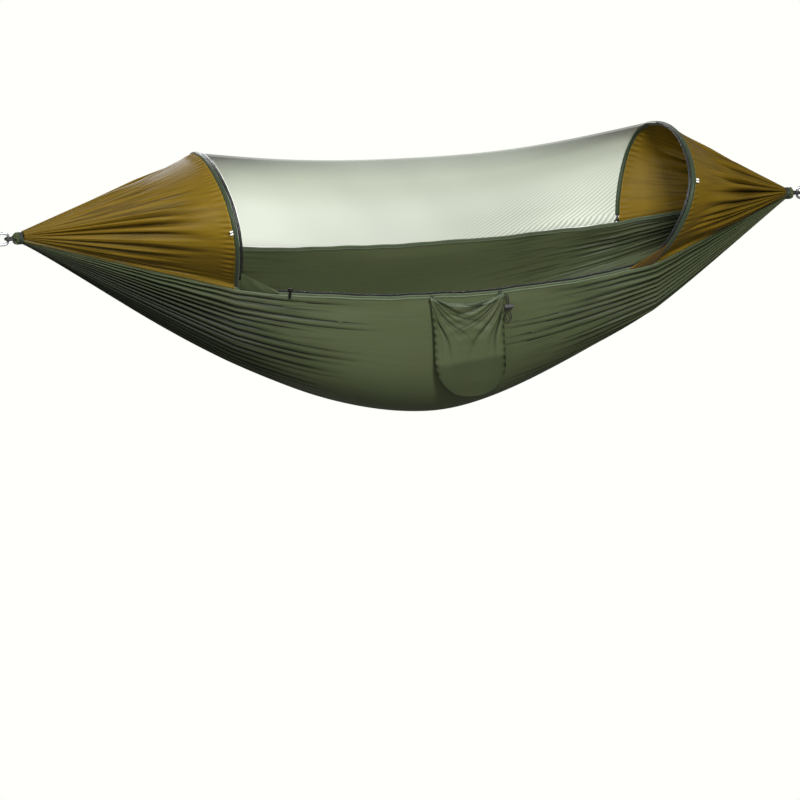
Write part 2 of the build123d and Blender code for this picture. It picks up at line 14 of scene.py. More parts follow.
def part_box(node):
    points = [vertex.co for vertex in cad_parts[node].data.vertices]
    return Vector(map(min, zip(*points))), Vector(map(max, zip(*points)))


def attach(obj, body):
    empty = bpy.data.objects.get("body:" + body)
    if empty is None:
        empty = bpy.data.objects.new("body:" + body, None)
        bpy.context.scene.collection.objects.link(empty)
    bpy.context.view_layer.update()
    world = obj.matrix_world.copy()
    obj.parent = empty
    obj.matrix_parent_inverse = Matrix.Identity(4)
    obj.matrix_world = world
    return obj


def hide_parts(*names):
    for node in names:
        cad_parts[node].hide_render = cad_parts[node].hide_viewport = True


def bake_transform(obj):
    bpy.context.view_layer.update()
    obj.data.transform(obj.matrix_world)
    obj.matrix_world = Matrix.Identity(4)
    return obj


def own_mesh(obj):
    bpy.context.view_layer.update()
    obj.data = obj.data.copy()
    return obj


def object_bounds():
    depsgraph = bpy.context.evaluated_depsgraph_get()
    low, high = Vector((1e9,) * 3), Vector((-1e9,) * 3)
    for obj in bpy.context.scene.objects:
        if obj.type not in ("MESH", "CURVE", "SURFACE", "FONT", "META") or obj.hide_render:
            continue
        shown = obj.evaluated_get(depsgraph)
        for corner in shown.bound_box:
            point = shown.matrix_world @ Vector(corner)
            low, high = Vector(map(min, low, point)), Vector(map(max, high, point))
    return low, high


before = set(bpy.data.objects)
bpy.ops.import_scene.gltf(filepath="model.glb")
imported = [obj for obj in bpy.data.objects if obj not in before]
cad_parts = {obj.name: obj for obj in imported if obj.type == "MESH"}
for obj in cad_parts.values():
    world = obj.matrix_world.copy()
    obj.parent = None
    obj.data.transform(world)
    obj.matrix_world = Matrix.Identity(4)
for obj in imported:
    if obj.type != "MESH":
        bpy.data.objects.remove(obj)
cad_low, cad_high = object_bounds()

# ---- sizes read from the frame ----
NEAR, FAR, LEFT, RIGHT = -1, 1, -1, 1
SIDES = {LEFT: "left", RIGHT: "right"}
MID_X = (cad_low.x + cad_high.x) / 2
BED_LOW, BED_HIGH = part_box("bed_panel")
CLOTH_END = (BED_HIGH.x - BED_LOW.x) / 2
CUPS = {side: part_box(f"hoop_anchor_cups_{name}") for side, name in SIDES.items()}
HOOP_S = {side: (low.x + high.x) / 2 - MID_X for side, (low, high) in CUPS.items()}

# ---- driving dimensions of the cloth, as in the design ----
NECK_R = 0.017
KEEL_SAG, KEEL_S, KEEL_POWER = -BED_LOW.z, 0.040, {LEFT: 1.107, RIGHT: 1.094}
KEEL_SLOPE, KEEL_ROUND = {LEFT: 0.304, RIGHT: 0.667}, 0.15
HOOP_LEAN = {LEFT: math.radians(8.9), RIGHT: math.radians(16.8)}
FOOT_Z, FOOT_HALF = -0.118, 0.195
HOOP_OUTLINE = {
    LEFT: [
        (FOOT_HALF, 0), (0.250, 0.070), (0.290, 0.146), (0.286, 0.220), (0.242, 0.276), (0.162, 0.311),
        (0.054, 0.333),
    ],
    RIGHT: [
        (FOOT_HALF, 0), (0.236, 0.042), (0.277, 0.113), (0.298, 0.196), (0.277, 0.272), (0.210, 0.322),
        (0.108, 0.355), (0.034, 0.365),
    ],
}
RIM_DROP, RIM_SAG, RIM_HALF_MID = 0.013, 0.047, 0.245
HEM_DEPTH, HEM_T = 0.012, 0.005
BED_BOX, BED_BULGE = 0.8, 0.35
SLEEVE_R = 0.0075
HOOP_ZIP_W, HOOP_ZIP = 0.009, (0.015, 0.6)  # width, and shares along the hoop
NET_TOP_SHARE, NET_PULL = {LEFT: 0.69, RIGHT: 0.66}, 2.5
NET_TOP_MID_Y, NET_TOP_MID_Z = 0.196, 0.120
DOOR_STANDOFF, DOOR_END = 0.007, 0.3
POCKET_S, POCKET_W, POCKET_H, POCKET_R, POCKET_T = 0.108, 0.235, 0.325, 0.085, 0.016
POCKET_TILT = math.radians(5.8)
POCKET_HEM = 0.012
CORD_R, CORD_LENGTH = 0.0015, 0.197
BUNDLE_L = 0.027
TAPE_INSET, ZIP_PITCH = 0.026, 0.0028
PIPING = {LEFT: (0.22, 0.50, 0.0176), RIGHT: (0.56, 0.82, 0.0088)}  # shares along the hoop, reach inboard
TAG_SHARE = {LEFT: 0.2, RIGHT: 0.265}
GUSSET_TALL = {LEFT: 0.043, RIGHT: 0.070}
GUSSET_REACH = {LEFT: 0.130, RIGHT: 0.092}
GUSSET_START = 0.012
OUTSIDE_HEM, UNDER_HEM = 0.0034, 0.005  # where cloth is sewn on, from the rim's top line
NECK_INSET, OVER_NECK = 0.001, 0.0015  # of the bed's rims and of the canopies, from a neck's radius

CLOTH_T = 0.0007  # the nylon, drawn a little thick so that its edges show
rng = np.random.default_rng(487)


def along(s):
    """X of a station."""
    return s + MID_X


def smooth(t):
    """0 below 0, 1 above 1, and a soft step between."""
    t = np.clip(t, 0.0, 1.0)
    return t * t * (3 - 2 * t)


# ---- shape of the cloth ----
def span_share(s):
    """0 midway between the hoop feet, -1 and 1 at the feet."""
    middle = (HOOP_S[LEFT] + HOOP_S[RIGHT]) / 2
    return (s - middle) / (HOOP_S[RIGHT] - middle)


def end_share(s):
    """0 at a hoop foot, 1 at the neck outboard of it."""
    foot = np.where(s < 0, HOOP_S[LEFT], HOOP_S[RIGHT])
    neck = np.where(s < 0, -CLOTH_END, CLOTH_END)
    return (s - foot) / (neck - foot)


def between_hoops(s):
    return (s >= HOOP_S[LEFT]) & (s <= HOOP_S[RIGHT])


def rim_half(s):
    """Half the bed's width at its rims."""
    s = np.asarray(s, float)
    inner = FOOT_HALF + (RIM_HALF_MID - FOOT_HALF) * (1 - span_share(s) ** 2)
    outer = FOOT_HALF + (NECK_R - NECK_INSET - FOOT_HALF) * end_share(s)
    return np.where(between_hoops(s), inner, outer)


def rim_z(s):
    """Height of the rims' top line."""
    s = np.asarray(s, float)
    at_foot = FOOT_Z - RIM_DROP
    inner = at_foot - RIM_SAG * (1 - span_share(s) ** 2)
    return np.where(between_hoops(s), inner, at_foot * (1 - end_share(s)))


def keel_z(s):
    """Height of the bed's lowest line: part bowl, part two straight slopes with a rounded corner."""
    s = np.asarray(s, float)
    left = s < KEEL_S
    span = np.where(left, CLOTH_END + KEEL_S, CLOTH_END - KEEL_S)
    power = np.where(left, KEEL_POWER[LEFT], KEEL_POWER[RIGHT])
    share = np.minimum(1.0, np.abs(s - KEEL_S) / span)
    bowl = np.maximum(np.cos(math.pi / 2 * share), 0.0) ** power
    top = 1 + KEEL_ROUND
    slope = top - np.sqrt(share**2 + KEEL_ROUND**2) - (top - math.sqrt(1 + KEEL_ROUND**2)) * share**2
    curve = bowl + (slope - bowl) * np.where(left, KEEL_SLOPE[LEFT], KEEL_SLOPE[RIGHT])
    return -NECK_R - (KEEL_SAG - NECK_R) * curve


def hem_share(s):
    """1 along the bed, less where the rims close on the necks."""
    return np.minimum(1, rim_half(s) / 0.06)


# ---- meshes from grids ----
def grid_object(name, points, uv, close_across=False, attributes=None):
    """A smooth mesh from points[i, j], i along and j across, with UVs in metres."""
    n, m = points.shape[:2]
    across = m if close_across else m - 1
    i, j = np.meshgrid(np.arange(n - 1), np.arange(across), indexing="ij")
    k = (j + 1) % m
    faces = np.stack([i * m + j, i * m + k, (i + 1) * m + k, (i + 1) * m + j], axis=-1).reshape(-1, 4)
    mesh = bpy.data.meshes.new(name)
    mesh.vertices.add(n * m)
    mesh.vertices.foreach_set("co", points.reshape(-1).astype(np.float32))
    mesh.loops.add(faces.size)
    mesh.loops.foreach_set("vertex_index", faces.reshape(-1).astype(np.int32))
    mesh.polygons.add(len(faces))
    mesh.polygons.foreach_set("loop_start", np.arange(0, faces.size, 4, dtype=np.int32))
    mesh.update(calc_edges=True)
    mesh.polygons.foreach_set("use_smooth", np.ones(len(faces), dtype=bool))
    layer = mesh.uv_layers.new(name="cloth")
    flat = uv.reshape(-1, 2)[faces.reshape(-1)]
    layer.data.foreach_set("uv", flat.reshape(-1).astype(np.float32))
    for key, values in (attributes or {}).items():
        layer = mesh.attributes.new(key, "FLOAT", "POINT")
        layer.data.foreach_set("value", values.reshape(-1).astype(np.float32))
    mesh.validate()
    made = bpy.data.objects.new(name, mesh)
    bpy.context.scene.collection.objects.link(made)
    return made


def sheet_grid(name, points, close=False, attributes=None):
    """A grid with UVs measured along and across its middle, in metres."""
    run = np.linalg.norm(np.diff(points, axis=0), axis=-1).mean(axis=1)
    width = np.linalg.norm(np.diff(points, axis=1), axis=-1).mean(axis=0)
    u = np.concatenate([[0], np.cumsum(run)])
    v = np.concatenate([[0], np.cumsum(width)])
    uv = np.stack(np.broadcast_arrays(u[:, None], v[None, :]), axis=-1)
    return grid_object(name, points, uv, close_across=close, attributes=attributes)


def strip(name, path, across, up, outline, stretch=None):
    """A closed strip along a path. outline gives its section, (across, up), and stretch scales it."""
    scale = np.ones(len(path)) if stretch is None else stretch
    shape = np.asarray(outline, float)
    points = path[:, None] + across[:, None] * (shape[None, :, 0] * scale[:, None])[..., None]
    points = points + up[:, None] * (shape[None, :, 1] * scale[:, None])[..., None]
    return sheet_grid(name, points, close=True)


def mirrored(half):
    """A section's outline from its half on one side, which ends on the middle line."""
    return half + [(-across, up) for across, up in half[-2::-1]]


def steady(direction, count):
    return np.broadcast_to(np.array(direction, float), (count, 3))


def directions(path):
    """Unit directions along a path of points."""
    run = np.gradient(path, axis=0)
    return run / np.linalg.norm(run, axis=1, keepdims=True)


def grid_normals(points, inside=None):
    """Unit normals of a grid, turned away from a point inside it if one is given."""
    du = np.gradient(points, axis=0)
    dv = np.gradient(points, axis=1)
    normal = np.cross(du, dv)
    normal = normal / np.maximum(np.linalg.norm(normal, axis=-1, keepdims=True), 1e-12)
    if inside is not None and np.mean(np.sum((points - inside) * normal, axis=-1)) < 0:
        normal = -normal
    return normal


def thicken(obj, thickness):
    modifier = obj.modifiers.new("thickness", "SOLIDIFY")
    modifier.thickness = thickness
    modifier.offset = 0.0
    modifier.use_rim = True


def dress(piece, stands_for, look):
    """The design node that a piece stands for, which is hidden, and its material."""
    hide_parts(stands_for)
    paint(piece, look)


def even_rows(rows, count):
    """Resamples each row of points at even distances along it."""
    out = np.empty((rows.shape[0], count + 1, 3))
    lengths = np.empty(rows.shape[0])
    for r, row in enumerate(rows):
        steps = np.linalg.norm(np.diff(row, axis=0), axis=1)
        reach = np.concatenate([[0], np.cumsum(steps)])
        targets = np.linspace(0, reach[-1], count + 1)
        for axis in range(3):
            out[r, :, axis] = np.interp(targets, reach, row[:, axis])
        lengths[r] = reach[-1]
    return out, lengths


def even_line(line, count):
    """Resamples a line in a hoop's plane at even distances along it."""
    row = np.column_stack([line, np.zeros(len(line))])[None]
    return even_rows(row, count)[0][0][:, :2]


def pleat_bank(across, count, spread=0.35):
    """Pleats of uneven width across the cloth: each point's pleat number and place in it, 0 to 1."""
    widths = 1 + spread * rng.uniform(-1, 1, count)
    edges = np.concatenate([[0], np.cumsum(widths) / widths.sum()])
    edges[-1] = 1.0 + 1e-9
    number = np.clip(np.searchsorted(edges, across, side="right") - 1, 0, count - 1)
    place = (across - edges[number]) / (edges[number + 1] - edges[number])
    return number, np.clip(place, 0, 1)


# ---- bed ----
BED_ALONG, BED_ACROSS = 330, 460
BED_FLAT = (1.245, 2.80)
BED_PLEATS, BED_CREASES = 46, 110
BED_PLEAT_STARTS, BED_PLEAT_SIZES = (0.10, 0.36), (0.45, 1.0)  # shares of the way to the neck, of height
BED_CREASE_STARTS = (0.35, 0.85)


def bed_rows(stations, count):
    """The bed's smooth sections from the near rim to the far rim."""
    s = stations[:, None]
    a = np.linspace(0, math.pi, 361)[None, :]
    half, top = rim_half(s), rim_z(s) - HEM_DEPTH * hem_share(s) * 0.5
    depth = top - keel_z(s)
    c = np.cos(a)
    y = -half * np.abs(c) ** BED_BOX * np.sign(c) * (1 + BED_BULGE * np.sin(a))
    z = top - depth * np.abs(np.sin(a)) ** BED_BOX
    rows = np.stack([np.broadcast_to(along(s), y.shape), y, z], axis=-1)
    return even_rows(rows, count)


def bed_stations():
    """Closer together near the gathered ends."""
    t = np.linspace(-1, 1, BED_ALONG + 1)
    return CLOTH_END * (0.82 * t + 0.18 * np.sin(math.pi / 2 * t))


def bed_displacement(s, u, width):
    """How far each point stands out of the smooth bed, and its painted shade: dark in the fold valleys and
    under the left end.
    """
    reach = np.where(s < 0, -s, s) / CLOTH_END
    wander = 0.0035 * np.sin(7.0 * s + 9 * u) * (1 - reach)
    number, place = pleat_bank(np.clip(u + wander, 0, 1), BED_PLEATS)
    start = rng.uniform(*BED_PLEAT_STARTS, (2, BED_PLEATS))
    size = rng.uniform(*BED_PLEAT_SIZES, (2, BED_PLEATS))
    side = (s > 0).astype(int)
    far_wall = smooth((u - 0.60) / 0.22)
    grow = smooth((reach - start[side, number] - 0.28 * far_wall) / 0.30)
    ridge = np.sin(math.pi * place) ** 0.5
    pitch = width / BED_PLEATS
    tall = pitch * (0.30 + 1.42 * smooth((reach - 0.34) / 0.40)) * grow * size[side, number]
    main = tall * (ridge - 0.55)
    fine_number, fine_place = pleat_bank(u, BED_CREASES, 0.5)
    fine_start = rng.uniform(*BED_CREASE_STARTS, (2, BED_CREASES))
    fine_grow = smooth((reach - fine_start[side, fine_number]) / 0.2)
    fine = width / BED_CREASES * 0.22 * fine_grow * (np.sin(math.pi * fine_place) ** 0.8 - 0.5)
    held = smooth(u / 0.012) * smooth((1 - u) / 0.012)
    # painted shade in the valleys of the pleats, half as much on the far wall
    deep = (1 - ridge) ** 0.8 * np.minimum(1, 2.4 * grow) * (1 - 0.5 * far_wall)
    # painted shade under the left end of the bed
    shade_under_left = smooth((-s / CLOTH_END - 0.22) / 0.5) * smooth((0.62 - u) / 0.2) * smooth(u / 0.14)
    return (main + fine) * held, (deep + 0.52 * shade_under_left) * held


def bed_sag(s, u):
    """Slow unevenness of the slack cloth in the middle of the bed."""
    middle = smooth(1.25 - np.abs(s) / 0.55)
    soft = np.sin(5.1 * s + 11 * u) + 0.7 * np.sin(8.3 * s - 23 * u + 1.3)
    soft = soft + 0.6 * np.sin(3.7 * s + 37 * u)
    return 0.0016 * middle * soft * smooth(u / 0.04) * smooth((1 - u) / 0.04)


def make_bed():
    """The bed's cloth between its necks, smooth in the middle and gathered at both ends."""
    stations = bed_stations()
    rows, widths = bed_rows(stations, BED_ACROSS)
    s = np.broadcast_to(stations[:, None], rows.shape[:2])
    u = np.broadcast_to(np.linspace(0, 1, BED_ACROSS + 1)[None, :], rows.shape[:2])
    width = np.broadcast_to(widths[:, None], rows.shape[:2])
    stand, deep = bed_displacement(s, u, width)
    outward = grid_normals(rows, inside=np.array([MID_X, 0, -0.2]))
    points = rows + outward * (stand + bed_sag(s, u))[..., None]
    for rim, away in ((NEAR, u), (FAR, 1 - u)):
        wave_out, wave_up = rim_wave(s, rim)
        held = np.exp(-((away * width / 0.05) ** 2))
        points[..., 1] += rim * wave_out * held
        points[..., 2] += wave_up * held
    uv = np.stack([s, (u - 0.5) * BED_FLAT[0]], axis=-1)
    # where the painted streak shade shows: none in the middle, full towards the gathered ends
    streak_shade_mask = smooth((np.abs(s) / CLOTH_END - 0.16) / 0.30)
    # the fold-shade attribute carries the painted shade of the pleats
    bed = grid_object("bed_cloth", points, uv, attributes={"fold_shade": deep, "streak_shade_mask": streak_shade_mask})
    thicken(bed, CLOTH_T)
    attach(bed, "hammock")
    dress(bed, "bed_panel", "bed_nylon")


# ---- hoops ----
SLEEVE_STEPS, SLEEVE_ROUND, SLEEVE_WRAP = 520, 20, 0.047
TRIM_STEPS = 1600


def rounded(points, steps=7):
    """A polyline with each corner rounded by the largest tangent arc that its runs allow."""
    points = [np.array(p, float) for p in points]
    out = [points[0]]
    for a, b, c in zip(points, points[1:], points[2:]):
        before, after = b - a, c - b
        run = 0.45 * min(np.linalg.norm(before), np.linalg.norm(after))
        start = b - before / np.linalg.norm(before) * run
        end = b + after / np.linalg.norm(after) * run
        for t in np.linspace(0, 1, steps):
            out.append((1 - t) ** 2 * start + 2 * t * (1 - t) * b + t**2 * end)
    out.append(points[-1])
    return np.array(out)


def hoop_line(side, count):
    """Points (across, up) of the pole's centre line, near foot to far foot, evenly spaced."""
    near = [(-u, v) for u, v in HOOP_OUTLINE[side]]
    return even_line(rounded(near + HOOP_OUTLINE[side][::-1]), count)


def on_hoop(side, line, shift=0.0):
    """Hoop-plane points, (across, up), placed in the frame; shift is outboard."""
    lean = HOOP_LEAN[side]
    across, up = line[..., 0], line[..., 1]
    x = along(HOOP_S[side]) + side * (shift + np.sin(lean) * up)
    z = FOOT_Z + np.cos(lean) * up
    return np.stack([x, across, z], axis=-1)


def tube_along(path, radius, segments, profile=None):
    """Grid of a tube round a path of points. profile(angle, share) scales the radius."""
    run = directions(path)
    seed = np.array([1.0, 0, 0]) if abs(run[0][0]) < 0.9 else np.array([0, 0, 1.0])
    side = np.empty_like(path)
    last = seed - run[0] * (seed @ run[0])
    for i, way in enumerate(run):
        last = last - way * (last @ way)
        last = last / np.linalg.norm(last)
        side[i] = last
    third = np.cross(run, side)
    angle = np.linspace(0, 2 * math.pi, segments, endpoint=False)[None, :]
    share = np.linspace(0, 1, len(path))[:, None]
    reach = radius * (profile(angle, share) if profile else np.ones((len(path), segments)))
    ring = np.cos(angle)[..., None] * side[:, None] + np.sin(angle)[..., None] * third[:, None]
    return path[:, None] + reach[..., None] * ring


def hoop_axis(side):
    """The normal of the hoop's plane, outboard."""
    lean = HOOP_LEAN[side]
    return np.array([side * math.cos(lean), 0, -math.sin(lean)])


def make_sleeve(side):
    """The cloth sleeve round the pole, puckered along its seam."""
    path = on_hoop(side, hoop_line(side, SLEEVE_STEPS)[5:-5])

    def pucker(angle, share):
        seam = np.exp(-(((angle - 0.5) / 0.28) ** 2))
        gathers = 0.025 * np.sin(share * 420) * seam
        return 1 + 0.10 * seam + gathers + 0.02 * np.sin(3 * angle + share * 60)

    points = tube_along(path, SLEEVE_R - 0.0004, SLEEVE_ROUND, pucker)
    length = np.linalg.norm(np.diff(path, axis=0), axis=1).sum()
    run = np.linspace(0, length, len(path))[:, None]
    wrap = np.linspace(0, SLEEVE_WRAP, SLEEVE_ROUND)[None, :]
    uv = np.stack(np.broadcast_arrays(run, wrap), axis=-1)
    name = SIDES[side]
    sleeve = grid_object(f"hoop_sleeve_cloth_{name}", points, uv, close_across=True)
    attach(sleeve, f"hoop_{name}")
    dress(sleeve, f"hoop_sleeve_{name}", "hoop_cloth")


# ---- canopies ----
CANOPY_ALONG, CANOPY_ACROSS = 150, 380
CANOPY_PLEATS, CANOPY_CREASES, CANOPY_PUCKERS = 22, 70, 58
CANOPY_PLEAT_STARTS, CANOPY_PLEAT_SIZES = (0.02, 0.34), (0.30, 1.0)  # shares from hoop to neck, of height
CANOPY_CREASE_STARTS = (0.05, 0.70)
CANOPY_FLAT, CANOPY_CUT = {LEFT: (1.24, 0.68), RIGHT: (1.28, 0.55)}, 0.62


def canopy_rows(side):
    """Smooth cone of cloth from the hoop (row 0) to the neck (last row), down to the rims' hems."""
    arch = hoop_line(side, CANOPY_ACROSS)
    foot = np.array([FOOT_HALF + OUTSIDE_HEM + 0.0002, -RIM_DROP - UNDER_HEM])
    low = np.linspace(0, 1, 14)[:-1, None]
    near = foot * (-1, 1) * (1 - low) + arch[0] * low
    arch = even_line(np.concatenate([near, arch, (near * (-1, 1))[::-1]]), CANOPY_ACROSS)
    widest, highest = arch[:, 0].max(), arch[:, 1].max()
    at_hoop = on_hoop(side, arch, SLEEVE_R * 0.75)
    up = arch[:, 1]
    at_neck = np.column_stack(
        [
            np.full(len(arch), along(side * (CLOTH_END - NECK_INSET))),
            arch[:, 0] / widest * (NECK_R + OVER_NECK),
            OVER_NECK + np.where(up > 0, up / highest * (NECK_R - 0.0005), up * 0.4),
        ]
    )
    rim = np.clip(-up / (RIM_DROP + UNDER_HEM), 0, 1)
    at_neck[:, 1] += np.sign(arch[:, 0]) * rim * (NECK_R + 2 * OVER_NECK - np.abs(at_neck[:, 1]))
    t = np.linspace(0, 1, CANOPY_ALONG + 1)[:, None, None] ** 1.05
    return at_hoop[None] * (1 - t) + at_neck[None] * t


def canopy_shape(side, t, v, width):
    """How far the canopy stands out of its cone, and its painted shade in the fold valleys."""
    wander = 0.010 * np.sin(5 * t + 9 * v + side) * (1 - t)
    number, place = pleat_bank(np.clip(v + wander, 0, 1), CANOPY_PLEATS, 0.55)
    size = rng.uniform(*CANOPY_PLEAT_SIZES, CANOPY_PLEATS)[number]
    start = rng.uniform(*CANOPY_PLEAT_STARTS, CANOPY_PLEATS)[number]
    grow = smooth((t - start) / 0.36)
    soft = 0.5 - 0.5 * np.cos(2 * math.pi * place)
    sharp = np.sin(math.pi * place) ** 0.6
    shape = soft * (1 - t) + sharp * t
    tall = width / CANOPY_PLEATS * (0.42 + 1.0 * t) * grow * size
    fine_number, fine_place = pleat_bank(v, CANOPY_CREASES, 0.5)
    fine_start = rng.uniform(*CANOPY_CREASE_STARTS, CANOPY_CREASES)[fine_number]
    fine_grow = smooth((t - fine_start) / 0.25)
    fine = width / CANOPY_CREASES * 0.22 * fine_grow * (np.sin(math.pi * fine_place) ** 0.8 - 0.5)
    by_hoop = np.exp(-(((t - 0.03) / 0.035) ** 2))
    pucker = 0.0016 * np.sin(2 * math.pi * v * CANOPY_PUCKERS + 2 * np.sin(31 * v)) * by_hoop
    hollow = -0.012 * np.sin(math.pi * t) * np.sin(math.pi * v) ** 2
    edge = smooth(v / 0.03) * smooth((1 - v) / 0.03)
    stand = (tall * (shape - 0.5) + fine + pucker) * edge + hollow
    # painted shade in the folds; on the right canopy it fades out towards the hoop
    shade = 1.0 if side == LEFT else smooth((t - 0.15) / 0.5)
    return stand, 1.15 * (1 - shape) * grow * size * shade


def make_canopy(side):
    """Brown cloth from a hoop to its neck, pleated towards the neck."""
    rows = canopy_rows(side)
    n, m = rows.shape[:2]
    t = np.broadcast_to(np.linspace(0, 1, n)[:, None], (n, m))
    v = np.broadcast_to(np.linspace(0, 1, m)[None, :], (n, m))
    width = np.linalg.norm(np.diff(rows, axis=1), axis=-1).sum(axis=1)[:, None]
    stand, deep = canopy_shape(side, t, v, width)
    outward = grid_normals(rows, inside=np.array([along(side * 0.9), 0, -0.05]))
    points = rows + outward * stand[..., None]
    flat = CANOPY_FLAT[side]
    uv = np.stack([t * flat[1], (v - 0.5) * flat[0]], axis=-1)
    name = SIDES[side]
    # where the painted streak shade shows: less by the hoop
    streak_shade_mask = 0.35 + 0.65 * smooth(t / 0.5)
    # the fold-shade attribute carries the painted shade of the folds
    canopy = grid_object(f"{name}_canopy_cloth", points, uv, attributes={"fold_shade": deep, "streak_shade_mask": streak_shade_mask})
    thicken(canopy, CLOTH_T)
    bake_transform(canopy)
    dress(canopy, f"{name}_end_canopy", "canopy_nylon")


# ---- net ----
NET_ALONG, NET_ACROSS, NET_HOOP_STEPS = 150, 60, 400


def net_rows(standoff, start):
    """The far net from its foot behind the rim's hem to its fold line, leaning with the hoops."""
    clear = SLEEVE_R * 0.4
    s = np.linspace(HOOP_S[LEFT] + clear, HOOP_S[RIGHT] - clear, NET_ALONG + 1)[:, None]
    t = np.linspace(start, 1, NET_ACROSS + 1)[None, :]
    q = span_share(s)
    curved = {}
    for side in SIDES:
        hoop = hoop_line(side, NET_HOOP_STEPS)
        pick = (1 - t * (1 - NET_TOP_SHARE[side])) * NET_HOOP_STEPS
        low = np.clip(t / 0.05, 0, 1)
        steps = np.arange(NET_HOOP_STEPS + 1)
        y = np.interp(pick, steps, hoop[:, 0])
        z = FOOT_Z + np.interp(pick, steps, hoop[:, 1]) * math.cos(HOOP_LEAN[side])
        y = y * low + (FOOT_HALF + OUTSIDE_HEM) * (1 - low)
        z = z * low + (FOOT_Z - RIM_DROP - UNDER_HEM) * (1 - low)
        curved[side] = np.stack([y + 0 * s, z + 0 * s], axis=-1)
    curve = np.where((q < 0)[..., None], curved[LEFT], curved[RIGHT])
    wave_out, wave_up = rim_wave(s, FAR)
    low = np.stack([rim_half(s) + wave_out + OUTSIDE_HEM, rim_z(s) + wave_up - UNDER_HEM], axis=-1)
    high = np.array([NET_TOP_MID_Y, NET_TOP_MID_Z])
    straight = low + (high - low) * t[..., None]
    yz = straight + (curve - straight) * (np.abs(q) ** NET_PULL)[..., None]
    run = np.gradient(yz, axis=1)
    normal = np.stack([run[..., 1], -run[..., 0]], axis=-1)
    normal /= np.linalg.norm(normal, axis=-1, keepdims=True)
    yz = yz + normal * standoff
    lean = np.where(q < 0, math.tan(HOOP_LEAN[LEFT]), math.tan(HOOP_LEAN[RIGHT]))
    lean = lean * np.maximum(yz[..., 1] - FOOT_Z, 0) * np.sign(q)
    x = along(s) + lean * np.abs(q) ** 3
    return np.stack([x, yz[..., 0], yz[..., 1]], axis=-1), s, t


def make_net(name, stands_for, standoff, start, ripple):
    """One layer of the net, from a share of the way up to its fold line."""
    points, s, t = net_rows(standoff, start)
    ends = np.sin(math.pi * (span_share(s) + 1) / 2)
    waves = ripple * np.sin(26 * s + 5 * t) * np.sin(math.pi * t) * ends
    points = points + grid_normals(points) * waves[..., None]
    uv = np.stack(np.broadcast_arrays(s, t * 0.40), axis=-1)
    body = smooth((t - start) / 0.45) if start else np.ones_like(t)
    net = grid_object(name, points, uv, attributes={"body": body + 0 * s})
    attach(net, "hammock")
    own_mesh(net)
    dress(net, stands_for, "insect_net")


# ---- wavy rims ----
def rim_wave(s, rim):
    """How far a rim wanders outward and up between its stitches."""
    slack = smooth((CLOTH_END - np.abs(s)) / 0.35)
    phase = 1.7 * rim
    out = 0.0011 * np.sin(23 * s + phase) + 0.0006 * np.sin(61 * s + 2 * phase)
    up = 0.0013 * np.sin(19 * s - phase) + 0.0006 * np.sin(53 * s + phase + 1)
    return out * slack, up * slack


def rim_path(s, rim, out=0.0, up=0.0):
    """The rim's top line with its waves, moved outward and up."""
    wave_out, wave_up = rim_wave(s, rim)
    y = rim * (rim_half(s) + wave_out + out)
    return np.stack([along(s), y, rim_z(s) + wave_up + up], axis=-1)


def rim_strip(name, s, rim, half, stretch):
    """An upright closed strip along a rim, from one half of its section's outline."""
    across, up = steady((0, rim, 0), len(s)), steady((0, 0, 1), len(s))
    return strip(name, rim_path(s, rim), across, up, mirrored(half), stretch)


def make_hem(rim, name):
    """Binding folded over the rim, a little wavy, with a flared lower edge."""
    s = np.linspace(-CLOTH_END, CLOTH_END, 900)
    t, deep = HEM_T / 2 * 0.85, HEM_DEPTH
    half = [(1.15 * t, -deep), (0.95 * t, -0.93 * deep), (0.80 * t, -0.70 * deep)]
    half += [(0.80 * t, -0.35 * deep), (0.95 * t, -0.14 * deep), (0.62 * t, -0.02 * deep), (0, 0.0004)]
    hem = rim_strip(f"{name}_binding", s, rim, half, hem_share(s))
    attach(hem, "hammock")
    dress(hem, f"{name}_hem", "binding_tape")
    return hem


def make_zip_tape():
    """Zip tape standing on the near rim, with the closed coil's bead along its top."""
    s = np.linspace(HOOP_S[LEFT] + TAPE_INSET, HOOP_S[RIGHT] - TAPE_INSET, 2200)
    half = [(0.0006, 0.0008), (0.0005, 0.0030), (0.0005, 0.0046), (0.0012, 0.0052), (0.0015, 0.0060)]
    half += [(0.0010, 0.0068), (0, 0.0071)]
    beat = 1 + 0.06 * np.sin(2 * math.pi * (s - s[0]) / ZIP_PITCH)
    tape = rim_strip("near_zip_coil", s, NEAR, half, beat)
    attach(tape, "hammock")
    dress(tape, "near_zip_tape", "zip_cloth")


# ---- hoop trims ----
def hoop_frame(side, line):
    """The hoop's path, its outward directions in the hoop's plane, and the hoop's axis at each point."""
    path = on_hoop(side, line)
    axis = hoop_axis(side)
    outward = np.cross(directions(path), axis)
    if np.mean(np.sum((path - path.mean(axis=0)) * outward, axis=1)) < 0:
        outward = -outward
    return path, outward, steady(axis, len(path))


def hoop_part(side, first, last):
    """hoop_frame() between two shares along the hoop, from its near foot."""
    return hoop_frame(side, hoop_line(side, TRIM_STEPS)[int(first * TRIM_STEPS) : int(last * TRIM_STEPS)])


def make_hoop_zip(side):
    """Glossy zip strip on the inboard edge of the sleeve, from the near foot to past the crown."""
    name = SIDES[side]
    path, outward, axis = hoop_part(side, *HOOP_ZIP)
    w = HOOP_ZIP_W / 2
    half = [(w, -0.0008), (w, 0.0006), (0.55 * w, 0.0008), (0.38 * w, 0.0021), (0, 0.0026)]
    outline = [(-across - SLEEVE_R - w - 0.0004, up) for across, up in mirrored(half)]
    trim = strip(f"hoop_zip_strip_{name}", path, axis, outward, outline)
    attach(trim, f"hoop_{name}")
    dress(trim, f"hoop_zip_{name}", "zip_cloth")


